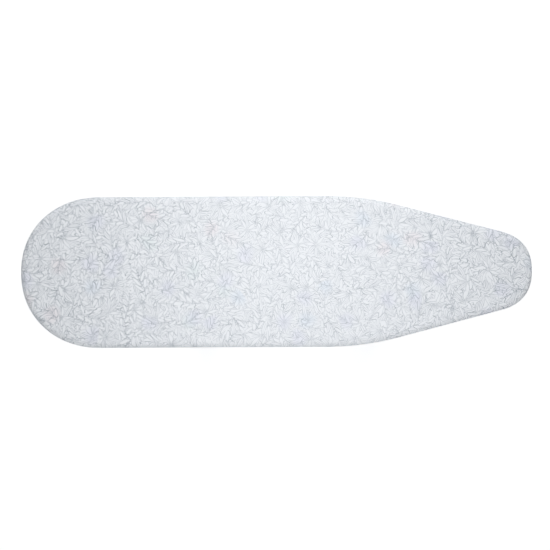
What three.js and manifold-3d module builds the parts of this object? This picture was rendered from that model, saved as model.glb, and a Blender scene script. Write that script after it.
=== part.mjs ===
// A full-size folding ironing board, standing at its highest setting.
//
// The frame: +X runs along the board to its narrow nose, +Y to the left of a person who stands at the
// wide end and looks towards the nose, +Z up. The origin is on the floor under the middle of the board.
// Everything is in millimetres.
//
// The top is a perforated steel panel on a rolled rim, with ribs below, a felt pad and a fitted cover
// above. Two tube legs cross below it. The outer leg hinges on brackets near the nose; the inner leg's
// top runs on two guide rods in a carriage, where a tilting plate grips the rods until the release
// bail presses it free.

import * as THREE from "three";
import { mergeVertices } from "three/addons/utils/BufferGeometryUtils.js";
import Module from "manifold-3d";

const wasm = await Module();
wasm.setup();

// ---------------------------------------------------------------- driving dimensions

const BOARD_LENGTH = 1210;
const BOARD_WIDTH = 357.5;
const TAIL_LENGTH = 189; // how far the round wide end takes to reach full width
const TAIL_POWER = 2.12; // a superellipse, a little squarer than a half round
const NOSE_LENGTH = 122;
const NOSE_HALF_WIDTH = 98;
const NOSE_POWER = 2.4;
const TAPER_DEG = 14.7; // each side of the nose, from the board's axis
const SHOULDER_RADIUS = 690;

const LEG_LENGTH = 990; // top pivot to foot bar
const LEG_TILT_DEG = 31; // from upright, when the board stands at its highest
const SCISSOR_DOWN_LEG = 390; // top pivot to the pivot where the legs cross
const HINGE_X = 245;
const FOOT_AXIS_Z = 14;
const OUTER_LEG_Y = 100;
const INNER_LEG_Y = 70;

const LEG_TUBE_R = 11;
const BRACE_TUBE_R = 8;
const TUBE_WALL = 1.3;
const GAP = 0.3; // between pieces that touch

// ---------------------------------------------------------------- places worked out from them

const tilt = THREE.MathUtils.degToRad(LEG_TILT_DEG);
const taper = THREE.MathUtils.degToRad(TAPER_DEG);
const HINGE_Z = FOOT_AXIS_Z + LEG_LENGTH * Math.cos(tilt);
const SLIDE_X = HINGE_X - 2 * SCISSOR_DOWN_LEG * Math.sin(tilt);
const FOLDED_SLIDE_X = HINGE_X - 2 * SCISSOR_DOWN_LEG;
const OUTER_FOOT_X = HINGE_X - LEG_LENGTH * Math.sin(tilt);
const INNER_FOOT_X = SLIDE_X + LEG_LENGTH * Math.sin(tilt);

// Heights of the layers of the top, above the hinge.
const RIM_BOTTOM = HINGE_Z + 22;
const PANEL_BOTTOM = HINGE_Z + 40;
const PANEL_THICK = 1;
const PAD_THICK = 5;
const COVER_THICK = 1.5;
const PANEL_TOP = PANEL_BOTTOM + PANEL_THICK;
const PAD_TOP = PANEL_TOP + GAP + PAD_THICK;
const BOARD_TOP = PAD_TOP + GAP + COVER_THICK;
const HEM_BOTTOM = RIM_BOTTOM - 0.4 - COVER_THICK;
const HEM_WIDTH = 36;

const UNDER_COVER = COVER_THICK + 0.5; // how far inside the cover's outline the rim, panel and pad end
const RIM_WIDTH = 14;
const SHEET = 1.6; // pressed steel brackets
const RIB_HEIGHT = 7.7;
const RIB_WIDTH = 24;
const RIB_WALL = 1.2;
const RIB_BOTTOM = PANEL_BOTTOM - GAP - RIB_HEIGHT;

// ---------------------------------------------------------------- finishes

const finish = (color, roughness, metalness) =>
  new THREE.MeshStandardMaterial({ color, roughness, metalness });
const COTTON = finish(0xe6eaef, 0.9, 0);
const FELT = finish(0xd9d8d2, 1, 0);
const ELASTIC = finish(0xf2f2ee, 0.85, 0);
const COATED_PANEL = finish(0xd5d8da, 0.5, 0.2);
const COATED_TUBE = finish(0xdfe2e4, 0.35, 0.2);
const ZINC = finish(0xb9bdc0, 0.35, 0.9);
const GREY_PLASTIC = finish(0x6d7479, 0.55, 0);
const BLUE_PLASTIC = finish(0x7f9bb5, 0.5, 0);
const NYLON = finish(0x2e3033, 0.6, 0);

// ---------------------------------------------------------------- solids

/** Turns a closed geometry into a manifold solid. */
function solid(geometry) {
  const bare = new THREE.BufferGeometry();
  bare.setAttribute("position", geometry.getAttribute("position"));
  bare.setIndex(geometry.getIndex());
  const merged = mergeVertices(bare, 1e-4);
  return new wasm.Manifold(
    new wasm.Mesh({
      numProp: 3,
      vertProperties: new Float32Array(merged.attributes.position.array),
      triVerts: new Uint32Array(merged.index.array),
    }),
  );
}

/** Turns a manifold solid back into a geometry. */
function geometryOf(made) {
  const mesh = made.getMesh();
  const geometry = new THREE.BufferGeometry();
  geometry.setAttribute("position", new THREE.BufferAttribute(mesh.vertProperties, 3));
  geometry.setIndex(new THREE.BufferAttribute(mesh.triVerts, 1));
  geometry.computeVertexNormals();
  return geometry;
}

const join = (...solids) => solids.reduce((all, one) => all.add(one));
const cut = (body, ...tools) => tools.reduce((left, tool) => left.subtract(tool), body);

/** A box between two corners. */
function block(low, high) {
  const size = high.map((value, i) => value - low[i]);
  const middle = high.map((value, i) => (value + low[i]) / 2);
  return solid(new THREE.BoxGeometry(...size).translate(...middle));
}

/** A round rod between two points. */
function rod(from, to, radius, sides = 14) {
  const start = new THREE.Vector3(...from);
  const along = new THREE.Vector3(...to).sub(start);
  const cylinder = new THREE.CylinderGeometry(radius, radius, along.length(), sides);
  const turn = new THREE.Quaternion().setFromUnitVectors(
    new THREE.Vector3(0, 1, 0),
    along.clone().normalize(),
  );
  return solid(
    cylinder.applyQuaternion(turn).translate(...start.addScaledVector(along, 0.5).toArray()),
  );
}

/** A round tube between two points, open at both ends. */
function tube(from, to, radius, wall = TUBE_WALL, sides = 16) {
  const start = new THREE.Vector3(...from);
  const end = new THREE.Vector3(...to);
  const beyond = end.clone().sub(start).normalize();
  return cut(
    rod(from, to, radius, sides),
    rod(
      start.clone().sub(beyond).toArray(),
      end.clone().add(beyond).toArray(),
      radius - wall,
      sides,
    ),
  );
}

/** A profile of [x, z] points drawn at the side and pulled from one y to another. */
function sideProfile(points, fromY, toY) {
  const shape = new THREE.Shape(points.map(([x, z]) => new THREE.Vector2(x, z)));
  const pulled = new THREE.ExtrudeGeometry(shape, { depth: toY - fromY, bevelEnabled: false });
  return solid(pulled.rotateX(Math.PI / 2).translate(0, toY, 0));
}

/** A profile of [y, z] points drawn at the end and pulled from one x to another. */
function endProfile(points, fromX, toX) {
  const shape = new THREE.Shape(points.map(([y, z]) => new THREE.Vector2(y, z)));
  const pulled = new THREE.ExtrudeGeometry(shape, { depth: toX - fromX, bevelEnabled: false });
  return solid(pulled.rotateY(Math.PI / 2).rotateX(Math.PI / 2).translate(fromX, 0, 0));
}

/** A turned piece: [radius, distance] points round the Y axis, mirrored for side -1. */
function turned(points, side, sides = 12) {
  const profile = points.map(([radius, distance]) => new THREE.Vector2(radius, distance));
  const made = new THREE.LatheGeometry(profile, sides);
  return side > 0 ? solid(made) : solid(made.rotateX(Math.PI));
}

/** A coil spring along X round (y, z). */
function coil(fromX, toX, y, z, radius, wire, turns) {
  const STEPS_A_TURN = 8;
  const WIRE_SIDES = 4;
  class Helix extends THREE.Curve {
    getPoint(t, target = new THREE.Vector3()) {
      const angle = 2 * Math.PI * turns * t;
      return target.set(
        fromX + wire + (toX - fromX - 2 * wire) * t,
        y + radius * Math.cos(angle),
        z + radius * Math.sin(angle),
      );
    }
  }
  const section = new THREE.Shape();
  for (let i = 0; i < WIRE_SIDES; i++) {
    const angle = (2 * Math.PI * i) / WIRE_SIDES;
    section[i ? "lineTo" : "moveTo"](wire * Math.cos(angle), wire * Math.sin(angle));
  }
  return solid(
    new THREE.ExtrudeGeometry(section, {
      steps: turns * STEPS_A_TURN,
      extrudePath: new Helix(),
    }),
  );
}

// ---------------------------------------------------------------- the board's outline

/** Points [x, y, nx, ny] round the board's edge, anticlockwise from the tip of the nose. */
function edgePoints() {
  const NOSE_STEPS = 8;
  const SHOULDER_STEPS = 4;
  const TAIL_STEPS = 12;
  const half = BOARD_WIDTH / 2;
  const right = Math.PI / 2;
  const left = [];

  /** Part of a superellipse; way is 1 for the nose and -1 for the tail. */
  const roundEnd = (way, reach, width, power, from, to, steps) => {
    for (let i = 0; i <= steps; i++) {
      const angle = from + ((to - from) * i) / steps;
      const along = Math.max(Math.cos(angle), 0) ** (2 / power);
      const across = Math.max(Math.sin(angle), 0) ** (2 / power);
      const normal = new THREE.Vector2(
        (way * along ** (power - 1)) / reach,
        across ** (power - 1) / width,
      ).normalize();
      const x = way * (BOARD_LENGTH / 2 - reach + reach * along);
      left.push([x, width * across, normal.x, normal.y]);
    }
  };

  const steepness = (Math.tan(taper) * NOSE_LENGTH) / NOSE_HALF_WIDTH;
  const leave = right - Math.atan(steepness ** (1 / (2 - 2 / NOSE_POWER)));
  roundEnd(1, NOSE_LENGTH, NOSE_HALF_WIDTH, NOSE_POWER, 0, leave, NOSE_STEPS);
  const [leaveX, leaveY] = left.at(-1);
  const cornerX = leaveX - (half - leaveY) / Math.tan(taper);
  const shoulderX = cornerX - SHOULDER_RADIUS * Math.tan(taper / 2);
  for (let i = 0; i <= SHOULDER_STEPS; i++) {
    const angle = right - taper + (taper * i) / SHOULDER_STEPS;
    const [nx, ny] = [Math.cos(angle), Math.sin(angle)];
    left.push([
      shoulderX + SHOULDER_RADIUS * nx,
      half - SHOULDER_RADIUS + SHOULDER_RADIUS * ny,
      nx,
      ny,
    ]);
  }
  roundEnd(-1, TAIL_LENGTH, half, TAIL_POWER, right, 0, TAIL_STEPS);
  const mirrored = left
    .slice(1, -1)
    .reverse()
    .map(([x, y, nx, ny]) => [x, -y, nx, -ny]);
  return [...left, ...mirrored];
}

const EDGE = edgePoints();
const inset = (distance) => EDGE.map(([x, y, nx, ny]) => [x - nx * distance, y - ny * distance]);

/** A solid from rings of [inset, z], each an outline of the board; the ends are capped, or joined. */
function ringSolid(rings, closed = false) {
  const count = EDGE.length;
  const positions = rings.flatMap(([distance, z]) => inset(distance).flatMap(([x, y]) => [x, y, z]));
  const triangles = [];
  const spans = closed ? rings.length : rings.length - 1;
  for (let ring = 0; ring < spans; ring++) {
    const here = ring * count;
    const next = ((ring + 1) % rings.length) * count;
    for (let i = 0; i < count; i++) {
      const j = (i + 1) % count;
      triangles.push(here + i, next + i, next + j, here + i, next + j, here + j);
    }
  }
  if (!closed) {
    const cap = (ring, up) => {
      const contour = inset(rings[ring][0]).map(([x, y]) => new THREE.Vector2(x, y));
      for (const [a, b, c] of THREE.ShapeUtils.triangulateShape(contour, [])) {
        const [p, q, r] = up ? [a, b, c] : [a, c, b];
        triangles.push(ring * count + p, ring * count + q, ring * count + r);
      }
    };
    cap(0, true);
    cap(rings.length - 1, false);
  }
  const geometry = new THREE.BufferGeometry();
  geometry.setAttribute("position", new THREE.Float32BufferAttribute(positions, 3));
  geometry.setIndex(triangles);
  return solid(geometry);
}

/** The board's outline pulled up into a flat plate. */
const plate = (distance, low, high) =>
  ringSolid([
    [distance, high],
    [distance, low],
  ]);

// ---------------------------------------------------------------- the assembly

const board = new THREE.Group();

/** Adds one named piece. */
function add(name, made, material, parent = board) {
  const mesh = new THREE.Mesh(geometryOf(made), material);
  mesh.name = name;
  parent.add(mesh);
}

const SIDES = [
  ["left", 1],
  ["right", -1],
];

// ---- soft layers

/** The fitted cover: flat on top, round the edge, down the rim and back under it in a hem. */
function cover() {
  const EDGE_ROUND = 5;
  const inner = COVER_THICK;
  const bevel = EDGE_ROUND * 0.3;
  return ringSolid([
    [EDGE_ROUND, BOARD_TOP],
    [bevel, BOARD_TOP - bevel],
    [0, BOARD_TOP - EDGE_ROUND],
    [0, HEM_BOTTOM + 2],
    [1, HEM_BOTTOM],
    [HEM_WIDTH, HEM_BOTTOM],
    [HEM_WIDTH, HEM_BOTTOM + COVER_THICK],
    [inner + 0.3, HEM_BOTTOM + COVER_THICK],
    [inner, HEM_BOTTOM + COVER_THICK + 0.5],
    [inner, BOARD_TOP - EDGE_ROUND - inner / 2],
    [inner + bevel, BOARD_TOP - bevel - inner],
    [EDGE_ROUND + inner, BOARD_TOP - inner],
  ]);
}

/** The felt pad between the cover and the panel. */
function feltPad() {
  const ROUND = 3.4;
  return ringSolid([
    [UNDER_COVER + ROUND + 1.5, PAD_TOP],
    [UNDER_COVER + ROUND / 3 + 0.6, PAD_TOP - ROUND / 3 - 0.3],
    [UNDER_COVER, PAD_TOP - ROUND - 1],
    [UNDER_COVER, PAD_TOP - PAD_THICK],
  ]);
}

/** The elastic cord that lies in the fold of the hem, all the way round. */
function hemElastic() {
  const RADIUS = 1.4;
  const CORNERS = 5;
  const middle = HEM_BOTTOM + COVER_THICK + GAP + RADIUS;
  const rings = [];
  for (let i = 0; i < CORNERS; i++) {
    const angle = (2 * Math.PI * i) / CORNERS;
    rings.push([HEM_WIDTH - 3 + RADIUS * Math.cos(angle), middle + RADIUS * Math.sin(angle)]);
  }
  return ringSolid(rings, true);
}

add("cover", cover(), COTTON);
add("felt_pad", feltPad(), FELT);
add("hem_elastic", hemElastic(), ELASTIC);

// ---- steel top

/** The rolled rim: a channel, open below, that runs all the way round. */
function rimFrame() {
  const WALL = 1.2;
  const outer = UNDER_COVER;
  const inner = UNDER_COVER + RIM_WIDTH;
  const top = PANEL_BOTTOM - GAP;
  return ringSolid(
    [
      [outer, top],
      [outer, RIM_BOTTOM],
      [outer + WALL, RIM_BOTTOM],
      [outer + WALL, top - WALL],
      [inner - WALL, top - WALL],
      [inner - WALL, RIM_BOTTOM],
      [inner, RIM_BOTTOM],
      [inner, top],
    ],
    true,
  );
}

/** The panel, with slots that let the steam through. */
function topPanel() {
  const SLOT_LENGTH = 56;
  const SLOT_HALF_WIDTH = 7;
  const PITCH_X = 100;
  const PITCH_Y = 54;
  const MARGIN = 26;
  const COLUMNS = 5;
  const ROWS = 2;
  const END_STEPS = 2;
  const border = inset(MARGIN);
  const inside = (x, y) =>
    border.every(([ax, ay], i) => {
      const [bx, by] = border[(i + 1) % border.length];
      return (bx - ax) * (y - ay) - (by - ay) * (x - ax) > 0;
    });
  const sheet = new THREE.Shape(inset(UNDER_COVER).map(([x, y]) => new THREE.Vector2(x, y)));
  for (let row = -ROWS; row <= ROWS; row++) {
    for (let column = -COLUMNS; column <= COLUMNS; column++) {
      const x = column * PITCH_X + (row % 2 ? PITCH_X / 2 : 0);
      const y = row * PITCH_Y;
      const reach = SLOT_LENGTH / 2;
      if (![-reach, reach].every((end) => inside(x + end, y))) continue;
      const slot = [];
      for (const end of [1, -1]) {
        for (let i = 0; i <= END_STEPS; i++) {
          const angle = -Math.PI / 2 + (Math.PI * i) / END_STEPS;
          slot.push(
            new THREE.Vector2(
              x + end * (reach - SLOT_HALF_WIDTH + SLOT_HALF_WIDTH * Math.cos(angle)),
              y + end * SLOT_HALF_WIDTH * Math.sin(angle),
            ),
          );
        }
      }
      sheet.holes.push(new THREE.Path(slot));
    }
  }
  const pulled = new THREE.ExtrudeGeometry(sheet, { depth: PANEL_THICK, bevelEnabled: false });
  return solid(pulled.translate(0, 0, PANEL_BOTTOM));
}

/** A channel rib across the underside of the panel, from rim to rim. */
function rib(x) {
  const half = RIB_WIDTH / 2;
  const across = BOARD_WIDTH / 2;
  const body = block([x - half, -across, RIB_BOTTOM], [x + half, across, RIB_BOTTOM + RIB_HEIGHT]);
  const hollow = block(
    [x - half + RIB_WALL, -across, RIB_BOTTOM + RIB_WALL],
    [x + half - RIB_WALL, across, RIB_BOTTOM + RIB_HEIGHT + 1],
  );
  const reach = plate(UNDER_COVER + RIM_WIDTH + GAP, RIB_BOTTOM - 1, PANEL_BOTTOM);
  return cut(body, hollow).intersect(reach);
}

const RAIL_FRONT_X = -108;
const RAIL_REAR_X = -560;
const NOSE_RIB_X = 430;
const MIDDLE_RIB_X = -335;

add("rim_frame", rimFrame(), COATED_PANEL);
add("top_panel", topPanel(), COATED_PANEL);
add("nose_rib", rib(NOSE_RIB_X), COATED_PANEL);
add("hinge_rib", rib(HINGE_X), COATED_PANEL);
add("front_rail_rib", rib(RAIL_FRONT_X), COATED_PANEL);
add("middle_rib", rib(MIDDLE_RIB_X), COATED_PANEL);
add("rear_rail_rib", rib(RAIL_REAR_X + 6), COATED_PANEL);

// ---- hinge of the outer leg

const PIN_R = 4;
const BORE_R = PIN_R + 0.4;
const CHEEK_INNER_Y = OUTER_LEG_Y - LEG_TUBE_R - 4.5;
const CHEEK_OUTER_Y = OUTER_LEG_Y + LEG_TUBE_R + 2;

/** A pressed saddle that hangs from the hinge rib and holds one top end of the outer leg. */
function hingeBracket(side) {
  const HALF_LENGTH = 24;
  const BELOW = 11;
  const top = RIB_BOTTOM - GAP;
  const outside = CHEEK_OUTER_Y + SHEET;
  const cheek = [
    [HINGE_X - HALF_LENGTH, top],
    [HINGE_X - BELOW, HINGE_Z - BELOW],
    [HINGE_X + BELOW, HINGE_Z - BELOW],
    [HINGE_X + HALF_LENGTH, top],
  ];
  const low = Math.min(side * CHEEK_INNER_Y, side * outside);
  const high = Math.max(side * CHEEK_INNER_Y, side * outside);
  const gapLow = Math.min(side * (CHEEK_INNER_Y + SHEET), side * CHEEK_OUTER_Y);
  const gapHigh = Math.max(side * (CHEEK_INNER_Y + SHEET), side * CHEEK_OUTER_Y);
  const space = block(
    [HINGE_X - 2 * HALF_LENGTH, gapLow, HINGE_Z - 2 * BELOW],
    [HINGE_X + 2 * HALF_LENGTH, gapHigh, top - SHEET],
  );
  const bore = rod([HINGE_X, low - 1, HINGE_Z], [HINGE_X, high + 1, HINGE_Z], BORE_R);
  return cut(sideProfile(cheek, low, high), space, bore);
}

/** The rivet that the outer leg turns on. */
function hingePin(side) {
  const HEAD_R = 7;
  const inner = CHEEK_INNER_Y - GAP;
  const outer = CHEEK_OUTER_Y + SHEET + GAP;
  return turned(
    [
      [0, inner - 1.6],
      [HEAD_R - 1, inner - 1.6],
      [HEAD_R, inner - 0.8],
      [HEAD_R, inner],
      [PIN_R, inner],
      [PIN_R, outer],
      [HEAD_R, outer],
      [HEAD_R, outer + 1],
      [HEAD_R - 2, outer + 2.6],
      [0, outer + 2.6],
    ],
    side,
  ).translate([HINGE_X, 0, HINGE_Z]);
}

for (const [word, side] of SIDES) {
  add(`hinge_bracket_${word}`, hingeBracket(side), ZINC);
  add(`hinge_pin_${word}`, hingePin(side), ZINC);
}

// ---- guide rods

const GUIDE_ROD_R = 4;
const GUIDE_ROD_Y = 20;
const GUIDE_ROD_Z = HINGE_Z + 17;
const ROD_OVERHANG = 4;

/** A bent plate that holds both guide rods at one end. */
function rodBracket(x, flangeWay) {
  const HALF_WIDTH = 32;
  const FLANGE = 16;
  const top = RIB_BOTTOM - GAP;
  const bottom = GUIDE_ROD_Z - GUIDE_ROD_R - 5;
  const upright = block([x - SHEET / 2, -HALF_WIDTH, bottom], [x + SHEET / 2, HALF_WIDTH, top]);
  const flangeEnd = x + flangeWay * FLANGE;
  const flange = block(
    [Math.min(x, flangeEnd), -HALF_WIDTH, top - SHEET],
    [Math.max(x, flangeEnd), HALF_WIDTH, top],
  );
  const bores = SIDES.map(([, side]) =>
    rod(
      [x - 5, side * GUIDE_ROD_Y, GUIDE_ROD_Z],
      [x + 5, side * GUIDE_ROD_Y, GUIDE_ROD_Z],
      GUIDE_ROD_R + GAP,
    ),
  );
  return cut(join(upright, flange), ...bores);
}

add("rod_bracket_front", rodBracket(RAIL_FRONT_X, 1), ZINC);
add("rod_bracket_rear", rodBracket(RAIL_REAR_X, 1), ZINC);
for (const [word, side] of SIDES) {
  const y = side * GUIDE_ROD_Y;
  const ends = [
    [RAIL_REAR_X - ROD_OVERHANG, y, GUIDE_ROD_Z],
    [RAIL_FRONT_X + ROD_OVERHANG, y, GUIDE_ROD_Z],
  ];
  add(`guide_rod_${word}`, rod(...ends, GUIDE_ROD_R), ZINC);
}

// ---- legs

const SCISSOR_BORE_R = PIN_R + 0.4;
const TOP_OVERHANG = 16;

/** One side tube of a leg in the leg's own frame: its top pivot at the origin, its foot down -Z. */
function legTube(y, topBoreR) {
  const bores = [
    [0, topBoreR],
    [-SCISSOR_DOWN_LEG, SCISSOR_BORE_R],
  ].map(([z, radius]) => rod([0, y - 20, z], [0, y + 20, z], radius));
  const footBar = rod([0, y - 30, -LEG_LENGTH], [0, y + 30, -LEG_LENGTH], LEG_TUBE_R + GAP);
  return cut(tube([0, y, TOP_OVERHANG], [0, y, -LEG_LENGTH], LEG_TUBE_R), ...bores, footBar);
}

/** A tube across a leg, shaped at both ends to sit against the side tubes. */
function legBrace(legY, down) {
  const sideTubes = SIDES.map(([, side]) =>
    rod(
      [0, side * legY, -down - 30],
      [0, side * legY, -down + 30],
      LEG_TUBE_R + GAP,
    ),
  );
  return cut(tube([0, -legY, -down], [0, legY, -down], BRACE_TUBE_R), ...sideTubes);
}

/** The domed plug in the top end of a leg tube. */
function legPlug(y) {
  const inside = LEG_TUBE_R - TUBE_WALL - GAP;
  const top = TOP_OVERHANG;
  const DEPTH = 5;
  const profile = [
    [0, top - DEPTH],
    [inside, top - DEPTH],
    [inside, top + GAP],
    [LEG_TUBE_R, top + GAP],
    [LEG_TUBE_R - 1, top + 2],
    [0, top + 3],
  ];
  const made = new THREE.LatheGeometry(
    profile.map(([radius, z]) => new THREE.Vector2(radius, z)),
    16,
  );
  return solid(made.rotateX(Math.PI / 2).translate(0, y, 0));
}

/** The bar across the bottom of a leg. */
const footBar = (x, half) => tube([x, -half, FOOT_AXIS_Z], [x, half, FOOT_AXIS_Z], LEG_TUBE_R);

/** A moulded foot on one end of a foot bar, with a flat sole. */
function footCap(x, side, barHalf, outerY) {
  const FOOT_R = 15;
  const BOOT_LENGTH = 24;
  const ROUND = 4;
  const profile = [
    [0, barHalf - BOOT_LENGTH],
    [FOOT_R - 1.5, barHalf - BOOT_LENGTH],
    [FOOT_R, barHalf - BOOT_LENGTH + 1.5],
    [FOOT_R, outerY - ROUND],
    [FOOT_R - ROUND / 3, outerY - ROUND / 3],
    [FOOT_R - ROUND, outerY],
    [0, outerY],
  ];
  const boot = turned(profile, side, 16).translate([x, 0, FOOT_AXIS_Z]);
  const socket = rod(
    [x, side * (barHalf - BOOT_LENGTH - 5), FOOT_AXIS_Z],
    [x, side * (barHalf + GAP), FOOT_AXIS_Z],
    LEG_TUBE_R + GAP,
  );
  const floor = block([x - 40, -outerY - 10, -20], [x + 40, outerY + 10, 0]);
  return cut(boot, socket, floor);
}

/** Everything that the two legs have alike. */
function leg(name, legY, topBoreR, frame, footX, barHalf, footY, braceDown) {
  for (const [word, side] of SIDES) {
    add(`${name}_leg_tube_${word}`, legTube(side * legY, topBoreR), COATED_TUBE, frame);
    add(`${name}_leg_plug_${word}`, legPlug(side * legY), GREY_PLASTIC, frame);
    add(`${name}_foot_cap_${word}`, footCap(footX, side, barHalf, footY), GREY_PLASTIC);
  }
  add(`${name}_leg_brace`, legBrace(legY, braceDown), COATED_TUBE, frame);
  add(`${name}_foot_bar`, footBar(footX, barHalf), COATED_TUBE);
}

const outerLeg = new THREE.Group();
outerLeg.position.set(HINGE_X, 0, HINGE_Z);
outerLeg.rotation.y = tilt;
const innerLeg = new THREE.Group();
innerLeg.position.set(SLIDE_X, 0, HINGE_Z);
innerLeg.rotation.y = -tilt;
board.add(outerLeg, innerLeg);

const SLIDE_AXLE_R = 7;
leg("outer", OUTER_LEG_Y, BORE_R, outerLeg, OUTER_FOOT_X, 146, 166, 885);
leg("inner", INNER_LEG_Y, SLIDE_AXLE_R + GAP, innerLeg, INNER_FOOT_X, 114, 134, 700);

/** The bolt at the crossing, with its head outside and its nut inside. */
function scissorBolt(side) {
  const HEAD_R = 8;
  const NUT_R = 6.5;
  const head = OUTER_LEG_Y + LEG_TUBE_R + GAP;
  const nut = INNER_LEG_Y - LEG_TUBE_R - GAP;
  return turned(
    [
      [0, nut - 5],
      [NUT_R - 1, nut - 5],
      [NUT_R, nut - 4],
      [NUT_R, nut],
      [PIN_R, nut],
      [PIN_R, head],
      [HEAD_R, head],
      [HEAD_R, head + 1.5],
      [HEAD_R - 2.5, head + 3.6],
      [0, head + 3.6],
    ],
    side,
  ).translate([0, 0, -SCISSOR_DOWN_LEG]);
}

/** The washer that keeps the two legs apart at the crossing. */
function scissorSpacer(side) {
  const near = INNER_LEG_Y + LEG_TUBE_R + GAP;
  const far = OUTER_LEG_Y - LEG_TUBE_R - GAP;
  const OUTER_R = 10;
  const at = (y, radius) => [side * y, radius];
  const [from, to] = [at(near)[0], at(far)[0]];
  const washer = rod([0, from, -SCISSOR_DOWN_LEG], [0, to, -SCISSOR_DOWN_LEG], OUTER_R);
  const hole = rod(
    [0, from - side * 2, -SCISSOR_DOWN_LEG],
    [0, to + side * 2, -SCISSOR_DOWN_LEG],
    SCISSOR_BORE_R,
  );
  return cut(washer, hole);
}

for (const [word, side] of SIDES) {
  add(`scissor_bolt_${word}`, scissorBolt(side), ZINC, outerLeg);
  add(`scissor_spacer_${word}`, scissorSpacer(side), NYLON, outerLeg);
}

const SLIDE_AXLE_HALF = INNER_LEG_Y + LEG_TUBE_R + 1.5;
add(
  "slide_axle",
  rod([SLIDE_X, -SLIDE_AXLE_HALF, HINGE_Z], [SLIDE_X, SLIDE_AXLE_HALF, HINGE_Z], SLIDE_AXLE_R),
  ZINC,
);

// ---- carriage and its lock

const CARRIAGE_HALF_WIDTH = 30;
const SLOT_FROM = 6; // the slot that holds the lock plate and its springs, ahead of the axle
const SLOT_TO = 22;
const CARRIAGE_TOP = 26;

/** The block that joins the slide axle to the guide rods. */
function carriage() {
  const at = ([x, z]) => [SLIDE_X + x, HINGE_Z + z];
  const profile = [
    [-18, -10.5],
    [26, -10.5],
    [26, CARRIAGE_TOP],
    [SLOT_TO, CARRIAGE_TOP],
    [SLOT_TO, 8.5],
    [SLOT_FROM, 8.5],
    [SLOT_FROM, CARRIAGE_TOP],
    [-14, CARRIAGE_TOP],
    [-18, CARRIAGE_TOP - 4],
  ].map(at);
  const axleBore = rod(
    [SLIDE_X, -CARRIAGE_HALF_WIDTH - 1, HINGE_Z],
    [SLIDE_X, CARRIAGE_HALF_WIDTH + 1, HINGE_Z],
    SLIDE_AXLE_R + GAP,
  );
  const rodBores = SIDES.map(([, side]) =>
    rod(
      [SLIDE_X - 30, side * GUIDE_ROD_Y, GUIDE_ROD_Z],
      [SLIDE_X + 40, side * GUIDE_ROD_Y, GUIDE_ROD_Z],
      GUIDE_ROD_R + GAP,
    ),
  );
  return cut(
    sideProfile(profile, -CARRIAGE_HALF_WIDTH, CARRIAGE_HALF_WIDTH),
    axleBore,
    ...rodBores,
  );
}

/** The plate that grips the guide rods, with the tongue that the release bail presses. */
function lockPlate() {
  const THICK = 2.4;
  const LEAN = THREE.MathUtils.degToRad(5);
  const FACE = 8.6; // in front of the axle
  const [low, high] = [10.2, 25];
  const at = (x, y, z) => [SLIDE_X + x, y, HINGE_Z + z];
  const lean = (high - low) * Math.tan(LEAN);
  const gripper = sideProfile(
    [
      [FACE, low],
      [FACE + THICK, low],
      [FACE + THICK + lean, high],
      [FACE + lean, high],
    ].map(([x, z]) => [SLIDE_X + x, HINGE_Z + z]),
    -42,
    27,
  );
  const bores = SIDES.map(([, side]) =>
    rod(
      at(0, side * GUIDE_ROD_Y, 17),
      at(20, side * GUIDE_ROD_Y, 17),
      GUIDE_ROD_R + 1.3,
    ),
  );
  const trim = block(at(0, -43, 13.2), at(20, -32.5, 30));
  const tongue = block(at(-24, -42, low), at(FACE + 1, -33, low + THICK));
  const toe = block(at(-24, -42, low), at(-21.6, -33, 17.4));
  return join(cut(gripper, ...bores, trim), tongue, toe);
}

add("slide_carriage", carriage(), NYLON);
add("lock_plate", lockPlate(), ZINC);
for (const [word, side] of SIDES) {
  const y = side * GUIDE_ROD_Y;
  const spring = coil(SLIDE_X + 12.6, SLIDE_X + SLOT_TO - GAP, y, GUIDE_ROD_Z, 5.6, 0.7, 3);
  add(`lock_spring_${word}`, spring, ZINC);
}

// ---- release bail and its grip

const BAIL_R = 2.5;
const BAIL_PIVOT_Y = -80;
const BAIL_Z = HINGE_Z + 26;
const BAIL_BAR_Y = -36;
const BAIL_FRONT_X = -126;
const BAIL_REAR_X = -518;
const BAR_REAR_X = -562;
const GRIP_X = -400;

/** The bent wire: a pivot rod, two arms, and the long bar that reaches the lock plate anywhere. */
function releaseBail() {
  const SIDES_OF_WIRE = 8;
  const wire = (from, to) => rod([...from, BAIL_Z], [...to, BAIL_Z], BAIL_R, SIDES_OF_WIRE);
  const elbow = (x, y) =>
    solid(new THREE.SphereGeometry(BAIL_R, SIDES_OF_WIRE, 4).translate(x, y, BAIL_Z));
  const corners = [
    [BAIL_FRONT_X, BAIL_PIVOT_Y],
    [BAIL_FRONT_X, BAIL_BAR_Y],
    [BAIL_REAR_X, BAIL_PIVOT_Y],
  ];
  return join(
    wire([BAIL_REAR_X, BAIL_PIVOT_Y], [BAIL_FRONT_X, BAIL_PIVOT_Y]),
    wire([BAR_REAR_X, BAIL_BAR_Y], [BAIL_FRONT_X, BAIL_BAR_Y]),
    wire([BAIL_FRONT_X, BAIL_PIVOT_Y], [BAIL_FRONT_X, BAIL_BAR_Y]),
    wire([BAIL_REAR_X, BAIL_PIVOT_Y], [BAIL_REAR_X, BAIL_BAR_Y]),
    ...corners.map(([x, y]) => elbow(x, y)),
  );
}

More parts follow.
